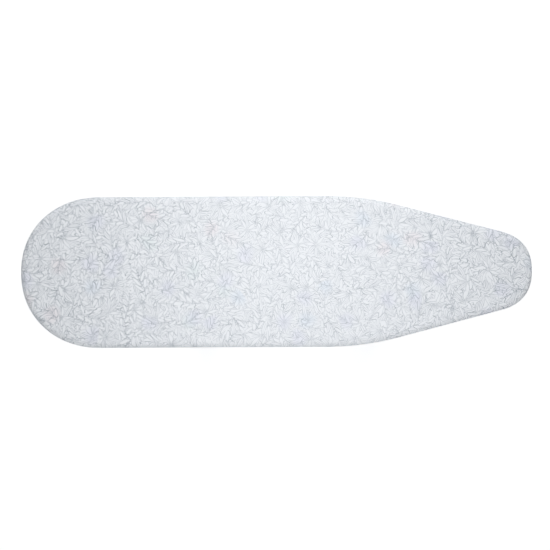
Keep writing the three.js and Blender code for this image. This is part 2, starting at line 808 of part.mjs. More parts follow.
/** The moulded grip: a hub on the pivot rod, a neck over the folded leg, and a paddle at the edge. */
function releaseGrip() {
  const HALF = 34;
  const NECK_HALF = 15;
  const z = (up) => HINGE_Z + up;
  const neck = endProfile(
    [
      [-74, z(20)],
      [-74, z(31)],
      [-86, z(31)],
      [-114, z(20.5)],
      [-126, z(13)],
      [-126, z(0)],
      [-116, z(0)],
      [-115, z(13.5)],
      [-88, z(15)],
    ],
    GRIP_X - NECK_HALF,
    GRIP_X + NECK_HALF,
  );
  const paddle = endProfile(
    [
      [-116, z(0)],
      [-116, z(8)],
      [-128, z(8)],
      [-160, z(2)],
      [-168, z(-2)],
      [-168, z(-6)],
      [-162, z(-9)],
      [-120, z(-6)],
    ],
    GRIP_X - HALF,
    GRIP_X + HALF,
  );
  const bore = rod(
    [GRIP_X - HALF - 1, BAIL_PIVOT_Y, BAIL_Z],
    [GRIP_X + HALF + 1, BAIL_PIVOT_Y, BAIL_Z],
    BAIL_R + GAP,
  );
  return cut(join(neck, paddle), bore);
}

/** A clip under the panel that the bail turns in. */
function bailClip(x) {
  const HALF = 8;
  const low = BAIL_Z - BAIL_R - 2.5;
  const body = block(
    [x - HALF, BAIL_PIVOT_Y - HALF, low],
    [x + HALF, BAIL_PIVOT_Y + HALF, PANEL_BOTTOM - GAP],
  );
  const bore = rod(
    [x - HALF - 1, BAIL_PIVOT_Y, BAIL_Z],
    [x + HALF + 1, BAIL_PIVOT_Y, BAIL_Z],
    BAIL_R + GAP,
  );
  return cut(body, bore);
}

add("release_bail", releaseBail(), ZINC);
add("release_grip", releaseGrip(), BLUE_PLASTIC);
add("bail_clip_front", bailClip(-160), NYLON);
add("bail_clip_rear", bailClip(-495), NYLON);
add("bail_spring", coil(-190, -172, BAIL_PIVOT_Y, BAIL_Z, 4.2, 0.8, 4), ZINC);

export default board;
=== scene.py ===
"""Looks for a folding ironing board: its printed cover, steel top, crossed legs and slide lock.

Every length is in metres in the board's own frame: +X to the narrow nose, +Y to the left of a person
at the wide end, +Z up, the floor at zero.
"""

from __future__ import annotations

import logging
import math
import sys
from dataclasses import dataclass
from enum import Enum
from typing import ClassVar, Iterable, Sequence, Union

import bmesh
import bpy
import numpy as np
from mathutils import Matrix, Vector
from mathutils.geometry import delaunay_2d_cdt
from mathutils.noise import noise


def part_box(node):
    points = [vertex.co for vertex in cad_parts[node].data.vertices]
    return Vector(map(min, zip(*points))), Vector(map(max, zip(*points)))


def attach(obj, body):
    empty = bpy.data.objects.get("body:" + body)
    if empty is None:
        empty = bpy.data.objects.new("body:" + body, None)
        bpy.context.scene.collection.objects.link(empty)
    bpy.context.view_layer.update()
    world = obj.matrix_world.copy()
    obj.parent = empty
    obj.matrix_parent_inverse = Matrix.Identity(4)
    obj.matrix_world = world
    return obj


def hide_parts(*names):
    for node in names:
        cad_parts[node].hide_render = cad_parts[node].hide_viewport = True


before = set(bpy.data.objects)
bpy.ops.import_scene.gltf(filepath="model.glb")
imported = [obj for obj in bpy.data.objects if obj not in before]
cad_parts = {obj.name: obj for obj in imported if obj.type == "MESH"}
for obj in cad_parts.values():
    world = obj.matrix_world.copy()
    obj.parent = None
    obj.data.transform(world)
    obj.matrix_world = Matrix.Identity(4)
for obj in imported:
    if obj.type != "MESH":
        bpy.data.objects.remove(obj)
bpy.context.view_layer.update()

LOG = logging.getLogger("ironing_board")
MM = 0.001
Number = Union[float, "Field"]
Point = Sequence[float]
Flat = tuple[float, float]
Triple = tuple[float, float, float]
Fields = tuple["Field", "Field", "Field"]
Piece = bpy.types.Object
FULL_TURN = 2 * math.pi


# ---------------------------------------------------------------- shader arithmetic


class Tree:
    """A node tree that is written as plain arithmetic on fields."""

    def __init__(self, nodes: bpy.types.NodeTree) -> None:
        """Wraps a node tree."""
        self.tree = nodes

    def node(self, kind: str, **settings: object) -> bpy.types.Node:
        """Adds a node.

        Args:
            kind: the node's type name, without its Shader prefix.
            settings: attributes to set on it.

        Returns:
            The new node.
        """
        made = self.tree.nodes.new("Shader" + kind)
        for name, value in settings.items():
            setattr(made, name, value)
        return made

    def feed(self, socket: bpy.types.NodeSocket, value: object) -> None:
        """Links a field into a socket, or sets the socket to a plain value.

        Args:
            socket: the input.
            value: a field, a plain value, or None to leave it.
        """
        if isinstance(value, Field):
            self.tree.links.new(value.socket, socket)
        elif value is not None:
            socket.default_value = value

    def maths(self, operation: str, *values: Number) -> Field:
        """Adds a math node over one to three values, and returns its result.

        Args:
            operation: the node's operation.
            values: its one to three inputs.

        Returns:
            Its result.
        """
        made = self.node("NodeMath", operation=operation)
        for socket, value in zip(made.inputs, values):
            self.feed(socket, value)
        return Field(self, made.outputs[0])

    def vector(self, operation: str, *values: object, output: str = "Vector") -> Field:
        """Adds a vector math node, and returns the named output.

        Args:
            operation: the node's operation.
            values: its inputs.
            output: the output to take.

        Returns:
            That output.
        """
        made = self.node("NodeVectorMath", operation=operation)
        for socket, value in zip(made.inputs, values):
            self.feed(socket, value)
        return Field(self, made.outputs[output])

    def scaled(self, vector: Field, by: float) -> Field:
        """A vector times a plain number.

        Args:
            vector: the vector.
            by: the number.

        Returns:
            The scaled vector.
        """
        made = self.node("NodeVectorMath", operation="SCALE")
        self.feed(made.inputs[0], vector)
        made.inputs["Scale"].default_value = by
        return Field(self, made.outputs[0])

    def split(self, vector: Field) -> Fields:
        """The three parts of a vector or colour.

        Args:
            vector: the vector or colour.

        Returns:
            Its parts.
        """
        made = self.node("NodeSeparateXYZ")
        self.feed(made.inputs[0], vector)
        return tuple(Field(self, out) for out in made.outputs)

    def joined(self, x: Number, y: Number, z: Number = 0.0) -> Field:
        """A vector from its three parts.

        Args:
            x: the first part.
            y: the second.
            z: the third.

        Returns:
            The vector.
        """
        made = self.node("NodeCombineXYZ")
        for socket, value in zip(made.inputs, (x, y, z)):
            self.feed(socket, value)
        return Field(self, made.outputs[0])

    def step(self, value: Number, low: float, high: float) -> Field:
        """A smooth step from 0 at low to 1 at high; low may be the larger.

        Args:
            value: what is judged.
            low: where the step is 0.
            high: where it is 1.

        Returns:
            The step.
        """
        made = self.node("NodeMapRange", interpolation_type="SMOOTHSTEP")
        flipped = low > high
        for name, number in (
            ("From Min", high if flipped else low),
            ("From Max", low if flipped else high),
            ("To Min", 1.0 if flipped else 0.0),
            ("To Max", 0.0 if flipped else 1.0),
        ):
            made.inputs[name].default_value = number
        self.feed(made.inputs["Value"], value)
        return Field(self, made.outputs["Result"])

    def noise(self, at: Field, scale: float, detail: float = 2.0, output: str = "Fac") -> Field:
        """Noise over a vector, with scale in repeats a unit.

        Args:
            at: where it is read.
            scale: how many repeats a unit.
            detail: how fine it goes.
            output: Fac for a number, Color for three.

        Returns:
            The noise.
        """
        made = self.node("NodeTexNoise")
        self.feed(made.inputs["Vector"], at)
        made.inputs["Scale"].default_value = scale
        made.inputs["Detail"].default_value = detail
        return Field(self, made.outputs[output])

    def mix(self, share: Number, a: object, b: object) -> Field:
        """A colour that goes from a to b with share.

        Args:
            share: how far it goes to b.
            a: the colour at 0.
            b: the colour at 1.

        Returns:
            The mixed colour.
        """
        made = self.node("NodeMix", data_type="RGBA")
        self.feed(made.inputs[0], share)
        for socket, colour in ((made.inputs[6], a), (made.inputs[7], b)):
            self.feed(socket, colour if isinstance(colour, Field) else (*colour, 1.0))
        return Field(self, made.outputs[2])

    def place(self) -> Field:
        """The surface's own place, in metres, which moves with the piece."""
        return Field(self, self.node("NodeTexCoord").outputs["Object"])

    def bump(self, height: Field, distance: float, strength: float = 1.0) -> Field:
        """A normal from a height field, with the height's scale in metres.

        Args:
            height: the height field.
            distance: how high a height of 1 is, in metres.
            strength: how much of it shows.

        Returns:
            The normal.
        """
        made = self.node("NodeBump")
        made.inputs["Distance"].default_value = distance
        made.inputs["Strength"].default_value = strength
        self.feed(made.inputs["Height"], height)
        return Field(self, made.outputs[0])


@dataclass(frozen=True)
class Field:
    """A number, vector or colour that varies over a surface."""

    tree: Tree
    socket: bpy.types.NodeSocket

    def __add__(self, other: Number) -> Field:
        """Sum."""
        return self.tree.maths("ADD", self, other)

    def __sub__(self, other: Number) -> Field:
        """Difference."""
        return self.tree.maths("SUBTRACT", self, other)

    def __rsub__(self, other: float) -> Field:
        """A number less this field."""
        return self.tree.maths("SUBTRACT", other, self)

    def __mul__(self, other: Number) -> Field:
        """Product."""
        return self.tree.maths("MULTIPLY", self, other)

    def __truediv__(self, other: Number) -> Field:
        """Quotient."""
        return self.tree.maths("DIVIDE", self, other)

    def __abs__(self) -> Field:
        """Size without sign."""
        return self.tree.maths("ABSOLUTE", self)

    __radd__ = __add__
    __rmul__ = __mul__


def rgb(red: int, green: int, blue: int) -> Triple:
    """A colour of 0 to 255 display values as linear light."""
    parts = (value / 255 for value in (red, green, blue))
    return tuple(p / 12.92 if p <= 0.04045 else ((p + 0.055) / 1.055) ** 2.4 for p in parts)


def shaded(colour: Triple, share: float) -> Triple:
    """A colour that sends back only that share of its light."""
    return tuple(part * share for part in colour)


# ---------------------------------------------------------------- finishes


@dataclass(frozen=True)
class Finish:
    """A finish that a piece can take: a name, a slot and a plain surface."""

    name: str
    slot: str
    colour: Triple
    roughness: float = 0.5
    metallic: float = 0.0

    def material(self) -> bpy.types.Material:
        """The finish's material, made once.

        Returns:
            The material.
        """
        found = bpy.data.materials.get(self.name)
        if found:
            return found
        made = bpy.data.materials.new(self.name)
        made.use_nodes = True
        made.node_tree.nodes.clear()
        tree = Tree(made.node_tree)
        shader = tree.node("NodeBsdfPrincipled")
        out = tree.node("NodeOutputMaterial")
        made.node_tree.links.new(shader.outputs[0], out.inputs[0])
        shader.inputs["Base Color"].default_value = (*self.colour, 1.0)
        shader.inputs["Roughness"].default_value = self.roughness
        shader.inputs["Metallic"].default_value = self.metallic
        self.dress(tree, shader)
        return made

    def dress(self, tree: Tree, shader: bpy.types.Node) -> None:
        """Adds the finish's own detail to its shader. A plain finish adds none."""


@dataclass(frozen=True)
class PowderCoat(Finish):
    """Baked powder paint over steel: a faint orange peel, with dull rubbed patches."""

    peel: float = 0.9 * MM
    clear: ClassVar[float] = 0.15

    def dress(self, tree: Tree, shader: bpy.types.Node) -> None:
        """Adds the orange peel, patches of wear and a thin gloss.

        Args:
            tree: the material's tree.
            shader: its shader.
        """
        at = tree.place()
        patch = tree.noise(at, 9.0, 4.0)
        speck = tree.noise(at, 160.0, 3.0)
        colour = tree.mix(tree.step(patch, 0.35, 0.75), self.colour, shaded(self.colour, 0.9))
        dusty = tree.mix(tree.step(speck, 0.64, 0.8), colour, shaded(self.colour, 0.8))
        tree.feed(shader.inputs["Base Color"], dusty)
        tree.feed(shader.inputs["Roughness"], patch * 0.3 + (self.roughness - 0.15))
        tree.feed(shader.inputs["Normal"], tree.bump(tree.noise(at, 1 / self.peel, 2.0), 0.06 * MM))
        shader.inputs["Coat Weight"].default_value = self.clear
        shader.inputs["Coat Roughness"].default_value = 0.35


@dataclass(frozen=True)
class ZincPlate(Finish):
    """Bright zinc on drawn steel: fine drawing lines and slow patches of blue and straw."""

    lines: float = 0.35 * MM

    def dress(self, tree: Tree, shader: bpy.types.Node) -> None:
        """Adds the tint of the plating and the drawing lines.

        Args:
            tree: the material's tree.
            shader: its shader.
        """
        at = tree.place()
        patch = tree.noise(at, 38.0, 3.0)
        straw, steel = rgb(188, 187, 178), rgb(170, 180, 191)
        tint = tree.mix(tree.step(patch, 0.3, 0.7), steel, straw)
        grime = tree.step(tree.noise(at, 90.0, 5.0), 0.62, 0.78)
        tree.feed(shader.inputs["Base Color"], tree.mix(grime * 0.5, tint, rgb(112, 110, 106)))
        drawn = tree.noise(tree.vector("MULTIPLY", at, (0.04, 1.0, 1.0)), 1 / self.lines, 2.0)
        tree.feed(shader.inputs["Roughness"], drawn * 0.25 + patch * 0.15 + (self.roughness - 0.2))
        tree.feed(shader.inputs["Normal"], tree.bump(drawn, 0.03 * MM))


@dataclass(frozen=True)
class MouldedPlastic(Finish):
    """Moulded plastic with a spark-eroded texture and scuffs that have gone a little pale."""

    grain: float = 0.45 * MM

    def dress(self, tree: Tree, shader: bpy.types.Node) -> None:
        """Adds the texture and slow changes of shade.

        Args:
            tree: the material's tree.
            shader: its shader.
        """
        at = tree.place()
        shade = tree.noise(at, 30.0, 3.0)
        pale = tuple(min(1.0, part * 1.35 + 0.01) for part in self.colour)
        scuff = tree.step(tree.noise(at, 220.0, 4.0), 0.62, 0.75)
        colour = tree.mix(tree.step(shade, 0.3, 0.8) * 0.5, self.colour, pale)
        tree.feed(shader.inputs["Base Color"], tree.mix(scuff * 0.35, colour, pale))
        grain = tree.noise(at, 1 / self.grain, 3.0)
        tree.feed(shader.inputs["Roughness"], grain * 0.2 + (self.roughness - 0.1))
        tree.feed(shader.inputs["Normal"], tree.bump(grain, 0.05 * MM))


@dataclass(frozen=True)
class Thread(MouldedPlastic):
    """Spun sewing thread, whose fine fuzz shows as a close grain."""

    grain: float = 0.3 * MM


@dataclass(frozen=True)
class Felt(Finish):
    """Pressed needled felt, flecked with darker fibres."""

    def dress(self, tree: Tree, shader: bpy.types.Node) -> None:
        """Adds fibres, flecks and a soft fuzzy surface.

        Args:
            tree: the material's tree.
            shader: its shader.
        """
        at = tree.place()
        fibre = tree.noise(tree.vector("MULTIPLY", at, (1.0, 0.3, 1.0)), 900.0, 6.0)
        fleck = tree.step(tree.noise(at, 420.0, 2.0), 0.66, 0.74)
        light = tree.mix(fibre, shaded(self.colour, 0.8), self.colour)
        tree.feed(shader.inputs["Base Color"], tree.mix(fleck, light, rgb(150, 156, 160)))
        tree.feed(shader.inputs["Normal"], tree.bump(fibre, 0.5 * MM))
        shader.inputs["Sheen Weight"].default_value = 0.3


@dataclass(frozen=True)
class Braid(Finish):
    """Elastic cord under a braided cotton cover."""

    def dress(self, tree: Tree, shader: bpy.types.Node) -> None:
        """Adds crossing strands, with painted shade in the grooves between them.

        Args:
            tree: the material's tree.
            shader: its shader.
        """
        x, y, z = tree.split(tree.place())
        one = tree.maths("SINE", (x + y + z) * 5200.0)
        other = tree.maths("SINE", (x - y + z) * 5200.0)
        strand = tree.maths("MAXIMUM", one, other) * 0.5 + 0.5
        # painted shade: the cord is painted darker in the grooves between strands, where the bump is lowest
        tree.feed(shader.inputs["Base Color"], tree.mix(strand, shaded(self.colour, 0.72), self.colour))
        tree.feed(shader.inputs["Normal"], tree.bump(strand, 0.2 * MM))


class Spray(Enum):
    """How the leaves of a printed spray are set."""

    FAN = "round one point"
    SPRIG = "along both sides of a stem"


@dataclass(frozen=True)
class SprayLayer:
    """One layer of printed sprays, in millimetres: how they grow, how far apart, and their leaves."""

    kind: Spray
    spacing: float
    reach: float
    half_width: float
    turn: float
    shift: float


@dataclass(frozen=True)
class Drawing:
    """What one layer draws: its lines, the leaves' insides, and each spray's distance and number."""

    line: Field
    inside: Field
    radius: Field
    number: Field


@dataclass(frozen=True)
class Leaves:
    """Where a place is among a spray's leaves: along and across its own leaf, its size, and the stem."""

    along: Field
    across: Field
    size: Field
    stem: Field


@dataclass(frozen=True)
class PrintedCotton(Finish):
    """Plain-woven white cotton with thin grey outlines of leaves in sprays, and a few soft tints.

    The print is drawn from the cloth's flat coordinates, which the CLOTH map holds in metres.
    """

    CLOTH: ClassVar[str] = "cloth"
    LAYERS: ClassVar[tuple[SprayLayer, ...]] = (
        SprayLayer(Spray.SPRIG, 58.0, 36.0, 3.2, 0.3, 11.0),
        SprayLayer(Spray.FAN, 54.0, 37.0, 3.5, 1.7, 47.0),
        SprayLayer(Spray.SPRIG, 50.0, 35.0, 3.2, 2.9, 83.0),
        SprayLayer(Spray.SPRIG, 46.0, 34.0, 3.1, 4.1, 129.0),
        SprayLayer(Spray.FAN, 36.0, 32.0, 3.1, 5.3, 171.0),
    )
    # lilac, sky, green and rose, each with the range of spray numbers that take it
    TINTS: ClassVar[tuple[tuple[Triple, float, float], ...]] = (
        (rgb(216, 218, 238), 0.84, 0.92),
        (rgb(208, 222, 238), 0.92, 0.97),
        (rgb(214, 228, 228), 0.06, 0.12),
        (rgb(236, 222, 226), 0.2, 0.24),
    )
    ink: Triple = rgb(114, 127, 141)
    thread: float = 0.7 * MM
    enlarged: float = 1.1

    def leaf(self, tree: Tree, layer: SprayLayer, leaves: Leaves) -> tuple[Field, Field]:
        """Draws one leaf: two curves that meet in points, and a vein.

        Args:
            tree: the material's tree.
            layer: the layer's sizes.
            leaves: where each place is on its leaf.

        Returns:
            Its line and its inside.
        """
        size = leaves.size
        share = (leaves.along - 0.8) / (size * layer.reach)
        held = tree.maths("MAXIMUM", share * (1.0 - share), 0.0)
        width = held * (1.35 - share * 0.7) * (4.0 * layer.half_width)
        off = abs(leaves.across)
        there = tree.maths("GREATER_THAN", held, 0.0005)
        edge = tree.step(abs(off - width), 0.55, 0.12)
        vein = tree.step(off, 0.6, 0.1) * tree.step(share, 0.75, 0.6) * tree.step(size, 0.78, 0.82) * 0.7
        inside = tree.maths("LESS_THAN", off - width, 0.9) * there
        return tree.maths("MAXIMUM", edge, vein) * there, inside

    def spray(self, tree: Tree, at: Field, layer: SprayLayer) -> Drawing:
        """Draws one layer of leaf sprays, one to a cell of the cloth.

        Args:
            tree: the material's tree.
            at: the cloth's flat place, in millimetres.
            layer: the layer's sizes.

        Returns:
            The layer's drawing.
        """
        turned = tree.node("NodeVectorRotate", rotation_type="Z_AXIS")
        tree.feed(turned.inputs["Vector"], at)
        turned.inputs["Angle"].default_value = layer.turn
        place = tree.vector("ADD", Field(tree, turned.outputs[0]), (layer.shift, 2 * layer.shift, 0))
        cells = tree.node("NodeTexVoronoi", voronoi_dimensions="2D")
        tree.feed(cells.inputs["Vector"], place)
        cells.inputs["Scale"].default_value = 1 / layer.spacing
        cells.inputs["Randomness"].default_value = 0.8
        away = tree.vector("SUBTRACT", place, Field(tree, cells.outputs["Position"]))
        one, two, three = tree.split(Field(tree, cells.outputs["Color"]))
        radius = tree.vector("LENGTH", away, output="Value")
        draw = self.fan if layer.kind is Spray.FAN else self.sprig
        leaves = draw(tree, away, radius, (one, two, three))
        line, inside = self.leaf(tree, layer, leaves)
        return Drawing(tree.maths("MAXIMUM", line, leaves.stem * 0.75), inside, radius, three)

    def chance(self, tree: Tree, seed: Field) -> Fields:
        """Three random numbers of a leaf.

        Args:
            tree: the material's tree.
            seed: the leaf's seed.

        Returns:
            The numbers.
        """
        own = tree.node("NodeTexWhiteNoise", noise_dimensions="1D")
        tree.feed(own.inputs["W"], seed)
        return tree.split(Field(tree, own.outputs["Color"]))

    def fan(self, tree: Tree, away: Field, radius: Field, own: Fields) -> Leaves:
        """Sets leaves round one point.

        Args:
            tree: the material's tree.
            away: the way from the spray's middle, in millimetres.
            radius: the distance from it.
            own: three random numbers of the spray.

        Returns:
            Its leaves.
        """
        one, two, three = own
        x, y, _ = tree.split(away)
        count = tree.maths("FLOOR", one * 3.99) + 7.0
        sector = tree.maths("DIVIDE", FULL_TURN, count)
        angle = tree.maths("ARCTAN2", y, x) + two * FULL_TURN
        leaf = tree.maths("ROUND", angle / sector)
        long, drift, _ = self.chance(tree, tree.maths("FLOORED_MODULO", leaf, count) * 7.31 + three * 91.7)
        aslant = angle - leaf * sector + (drift - 0.5) * sector * 0.3
        along = radius * tree.maths("COSINE", aslant)
        across = radius * tree.maths("SINE", aslant) + along * along * (two - 0.5) * 0.016
        stem = tree.step(abs(across), 0.6, 0.2) * tree.step(along, 3.0, 2.6) * tree.step(along, 0.0, 0.4)
        return Leaves(along - 2.4, across, long * 0.45 + 0.6, stem)

    def sprig(self, tree: Tree, away: Field, radius: Field, own: Fields) -> Leaves:
        """Sets leaves along both sides of a bent stem; its arguments and result are as a fan's.

        Args:
            tree: the material's tree.
            away: the way from the spray's middle, in millimetres.
            radius: the distance from it, which only a fan needs.
            own: three random numbers of the spray.

        Returns:
            Its leaves.
        """
        one, two, three = own
        pitch, lean = 12.8, math.radians(35)
        turned = tree.node("NodeVectorRotate", rotation_type="Z_AXIS")
        tree.feed(turned.inputs["Vector"], away)
        tree.feed(turned.inputs["Angle"], two * FULL_TURN)
        u, v, _ = tree.split(Field(tree, turned.outputs[0]))
        v = v + u * u * (three - 0.5) * 0.026
        side = tree.maths("SIGN", v)
        off = abs(v)
        slide = u - off * (1 / math.tan(lean)) + side * (pitch / 4)
        leaf = tree.maths("ROUND", slide / pitch)
        long, drift, _ = self.chance(tree, leaf * 3.17 + side * 11.3 + one * 83.9)
        along = off * (1 / math.sin(lean))
        bent = along * along * (drift * 0.008 - 0.002)
        across = (slide - leaf * pitch) * math.sin(lean) + bent
        fade = tree.step(abs(leaf * pitch - 2.0), 30.0, 8.0)
        stem = tree.step(off, 0.6, 0.2) * tree.step(abs(u), 30.0, 27.0)
        return Leaves(along, across, (long * 0.35 + 0.65) * (fade * 0.5 + 0.5), stem)

    def tinted(self, tree: Tree, colour: Field, layers: Sequence[Drawing]) -> Field:
        """Washes a soft tint over a few of the sprays.

        Args:
            tree: the material's tree.
            colour: the cotton's own colour.
            layers: the layers of sprays; only the first three hold tints.

        Returns:
            The colour with the tints.
        """
        for own, count in zip(layers, (4, 2, 1)):
            for shade, low, high in self.TINTS[:count]:
                chosen = tree.step(own.number, low, low + 0.004) * tree.step(own.number, high + 0.004, high)
                colour = tree.mix(chosen * tree.step(own.radius, 26.0, 6.0) * 0.28, colour, shade)
        return colour

    def dress(self, tree: Tree, shader: bpy.types.Node) -> None:
        """Adds the leaf print, the tints, the weave and a soft cloth surface, with the ink painted fainter
        round the middle as painted glare.

        Args:
            tree: the material's tree.
            shader: its shader.
        """
        flat = Field(tree, tree.node("NodeUVMap", uv_map=self.CLOTH).outputs[0])
        at = tree.scaled(flat, 1000.0 / self.enlarged)
        wander = tree.vector("SUBTRACT", tree.noise(at, 0.022, 1.0, "Color"), (0.5, 0.5, 0.5))
        drawn = tree.vector("ADD", at, tree.scaled(wander, 22.0))
        line: Number = 0.0
        clear: Number = 1.0
        layers: list[Drawing] = []
        for layer in self.LAYERS:
            own = self.spray(tree, drawn, layer)
            line = tree.maths("MAXIMUM", line, own.line * clear)
            clear = (1.0 - own.inside) * clear
            layers.append(own)
        cotton = tree.mix(tree.noise(at, 0.35, 3.0), self.colour, shaded(self.colour, 0.95))
        colour = self.tinted(tree, cotton, layers)
        x, y, _ = tree.split(flat)
        # painted glare: the ink is painted fainter round the middle of the board, under the lamp above, and
        # stronger towards both ends
        painted_glare_fade = tree.step(abs(x - 0.05), 0.1, 0.5) * 0.34 + 0.9
        strength = (tree.step(tree.noise(at, 0.06, 3.0), 0.3, 0.7) * 0.4 + 0.41) * painted_glare_fade
        inked = tree.mix(line * strength, colour, self.ink)
        tree.feed(shader.inputs["Base Color"], inked)
        warp = tree.maths("SINE", x * (FULL_TURN / self.thread))
        weft = tree.maths("SINE", y * (FULL_TURN / self.thread))
        slub = tree.noise(tree.vector("MULTIPLY", at, (0.12, 1.0, 1.0)), 0.9, 3.0)
        tree.feed(shader.inputs["Normal"], tree.bump(warp * weft * 0.5 + slub, 0.12 * MM, 0.55))
        shader.inputs["Sheen Weight"].default_value = 0.15
        shader.inputs["Sheen Roughness"].default_value = 0.5


COTTON = PrintedCotton("printed_cotton", "cotton", rgb(239, 242, 246), 0.9)
FELT = Felt("pressed_felt", "felt", rgb(222, 221, 215), 1.0)
ELASTIC = Braid("braided_elastic", "elastic", rgb(240, 240, 236), 0.8)
PANEL_COAT = PowderCoat("panel_coat", "coated_panel", rgb(206, 210, 213), 0.5)
TUBE_COAT = PowderCoat("tube_coat", "coated_tube", rgb(226, 229, 231), 0.4)
ZINC = ZincPlate("zinc_plate", "zinc", rgb(186, 190, 194), 0.38, 1.0)
GREY_PLASTIC = MouldedPlastic("grey_plastic", "grey_plastic", rgb(104, 111, 117), 0.55)
BLUE_PLASTIC = MouldedPlastic("blue_plastic", "blue_plastic", rgb(118, 146, 172), 0.45)
NYLON = MouldedPlastic("dark_nylon", "nylon", rgb(58, 61, 66), 0.55)
THREAD = Thread("cotton_thread", "cotton", rgb(244, 245, 246), 0.9)


# ---------------------------------------------------------------- mesh making


class Body(Enum):
    """The rigid bodies that pieces ride on."""

    BOARD = "board"
    OUTER_LEG = "outer_leg"
    INNER_LEG = "inner_leg"
    CARRIAGE = "carriage"
    LOCK = "lock"
    BAIL = "bail"


class Work:
    """A piece in the making: points and faces that become one mesh."""

    def __init__(self) -> None:
        """Starts with nothing."""
        self.points: list[np.ndarray] = []
        self.faces: list[tuple[int, ...]] = []
        self.count = 0

    def add(self, points: np.ndarray, faces: Iterable[Sequence[int]]) -> Work:
        """Adds points and the faces between them.

        Args:
            points: rows of x, y and z.
            faces: rows of point numbers, counted within these points.

        Returns:
            This work.
        """
        self.faces += [tuple(int(i) + self.count for i in face) for face in faces]
        self.points.append(np.asarray(points, float).reshape(-1, 3))
        self.count += len(self.points[-1])
        return self

    def grid(self, rings: np.ndarray, close_rings: bool = False, caps: bool = False) -> Work:
        """Adds a skin over rings of points.

        Args:
            rings: points as rings, points in a ring, coordinates; each ring closes on itself.
            close_rings: whether the last ring joins the first.
            caps: whether the first and last rings are closed with a face.

        Returns:
            This work.
        """
        many, around = rings.shape[:2]
        faces = []
        for i in range(many if close_rings else many - 1):
            here, there = i * around, (i + 1) % many * around
            for j in range(around):
                k = (j + 1) % around
                faces.append((here + j, here + k, there + k, there + j))
        if caps:
            faces.append(tuple(reversed(range(around))))
            faces.append(tuple((many - 1) * around + j for j in range(around)))
        return self.add(rings.reshape(-1, 3), faces)

    def sweep(
        self, path: Sequence[Point], radius: float | Sequence[float], sides: int = 12, closed: bool = False
    ) -> Work:
        """Adds a round bar along a path.

        Args:
            path: the points that its middle follows.
            radius: its radius, or one for each point.
            sides: how many sides it has.
            closed: whether the path is a loop.

        Returns:
            This work.
        """
        path = np.asarray(path, float)
        ahead = np.roll(path, -1, 0) - np.roll(path, 1, 0)
        if not closed:
            ahead[0], ahead[-1] = path[1] - path[0], path[-1] - path[-2]
        ahead /= np.linalg.norm(ahead, axis=1)[:, None]
        side = np.cross(ahead[0], (0.31, 0.17, 0.93))
        rings = []
        radii = np.broadcast_to(radius, len(path))
        turns = np.linspace(0, FULL_TURN, sides, endpoint=False)
        for point, way, size in zip(path, ahead, radii):
            side = side - way * side.dot(way)
            side /= np.linalg.norm(side)
            up = np.cross(way, side)
            rings.append(point + size * (np.outer(np.cos(turns), side) + np.outer(np.sin(turns), up)))
        return self.grid(np.array(rings), close_rings=closed, caps=not closed)

    def lathe(self, profile: Sequence[Point], at: Point, axis: Point, sides: int = 32) -> Work:
        """Adds a turned shape.

        Args:
            profile: pairs of radius and distance along the axis, in metres.
            at: where the axis starts.
            axis: which way it goes.
            sides: how many sides it has.

        Returns:
            This work.
        """
        way = Vector(axis).normalized()
        side = np.array(way.orthogonal().normalized())
        up = np.cross(way, side)
        turns = np.linspace(0, FULL_TURN, sides, endpoint=False)
        round_it = np.outer(np.cos(turns), side) + np.outer(np.sin(turns), up)
        rings = np.array([np.array(at) + d * np.array(way) + max(r, 1e-5) * round_it for r, d in profile])
        return self.grid(rings, caps=True)

    def piece(
        self,
        name: str,
        finish: Finish,
        body: Body,
        replaces: Sequence[str] = (),
        sharp: float = 38.0,
    ) -> Piece:
        """Turns the work into a finished piece.

        Args:
            name: the piece's name.
            finish: what it is finished in.
            body: the rigid body that it rides on.
            replaces: the plain solids that it stands for.
            sharp: edges that turn by more degrees than this stay sharp.

        Returns:
            The new object.
        """
        mesh = bpy.data.meshes.new(name)
        mesh.from_pydata(np.vstack(self.points), [], self.faces)
        grown = bmesh.new()
        grown.from_mesh(mesh)
        bmesh.ops.recalc_face_normals(grown, faces=grown.faces)
        grown.to_mesh(mesh)
        grown.free()
        return finished(bpy.data.objects.new(name, mesh), finish, body, replaces, sharp)


def finished(
    piece: Piece, finish: Finish, body: Body, replaces: Sequence[str], sharp: float
) -> Piece:
    """Shades, dresses and places a piece, and hides the plain solids that it stands for.

    Args:
        piece: the piece.
        finish: what it is finished in.
        body: the rigid body that it rides on.
        replaces: the plain solids that it stands for.
        sharp: edges that turn by more degrees than this stay sharp.

    Returns:
        The piece.
    """
    bpy.context.scene.collection.objects.link(piece)
    piece.data.shade_smooth()
    piece.data.set_sharp_from_angle(angle=math.radians(sharp))
    piece.data.materials.clear()
    piece.data.materials.append(finish.material())
    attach(piece, body.value)
    if replaces:
        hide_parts(*replaces)
    LOG.info("%s: %d faces, on %s", piece.name, len(piece.data.polygons), body.value)
    return piece


def eased(node: str, finish: Finish, body: Body, edge: float) -> Piece:
    """Makes a plain solid's finished copy, with its edges rounded.

    Args:
        node: the plain solid.
        finish: what the copy is finished in.
        body: the rigid body that it rides on.
        edge: how far its edges are rounded, in metres.

    Returns:
        The new object.
    """
    grown = bmesh.new()
    grown.from_mesh(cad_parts[node].data)
    bmesh.ops.remove_doubles(grown, verts=grown.verts, dist=1e-6)
    bmesh.ops.dissolve_limit(grown, angle_limit=0.02, verts=grown.verts, edges=grown.edges)
    sharp = [e for e in grown.edges if e.is_manifold and e.calc_face_angle(0) > math.radians(31)]
    bmesh.ops.bevel(
        grown, geom=sharp, offset=edge, segments=3, profile=0.5, affect="EDGES", clamp_overlap=True
    )
    bmesh.ops.triangulate(grown, faces=[f for f in grown.faces if len(f.verts) > 4])
    mesh = bpy.data.meshes.new(node)
    grown.to_mesh(mesh)
    grown.free()
    return finished(bpy.data.objects.new(node + "_made", mesh), finish, body, [node], 32.0)


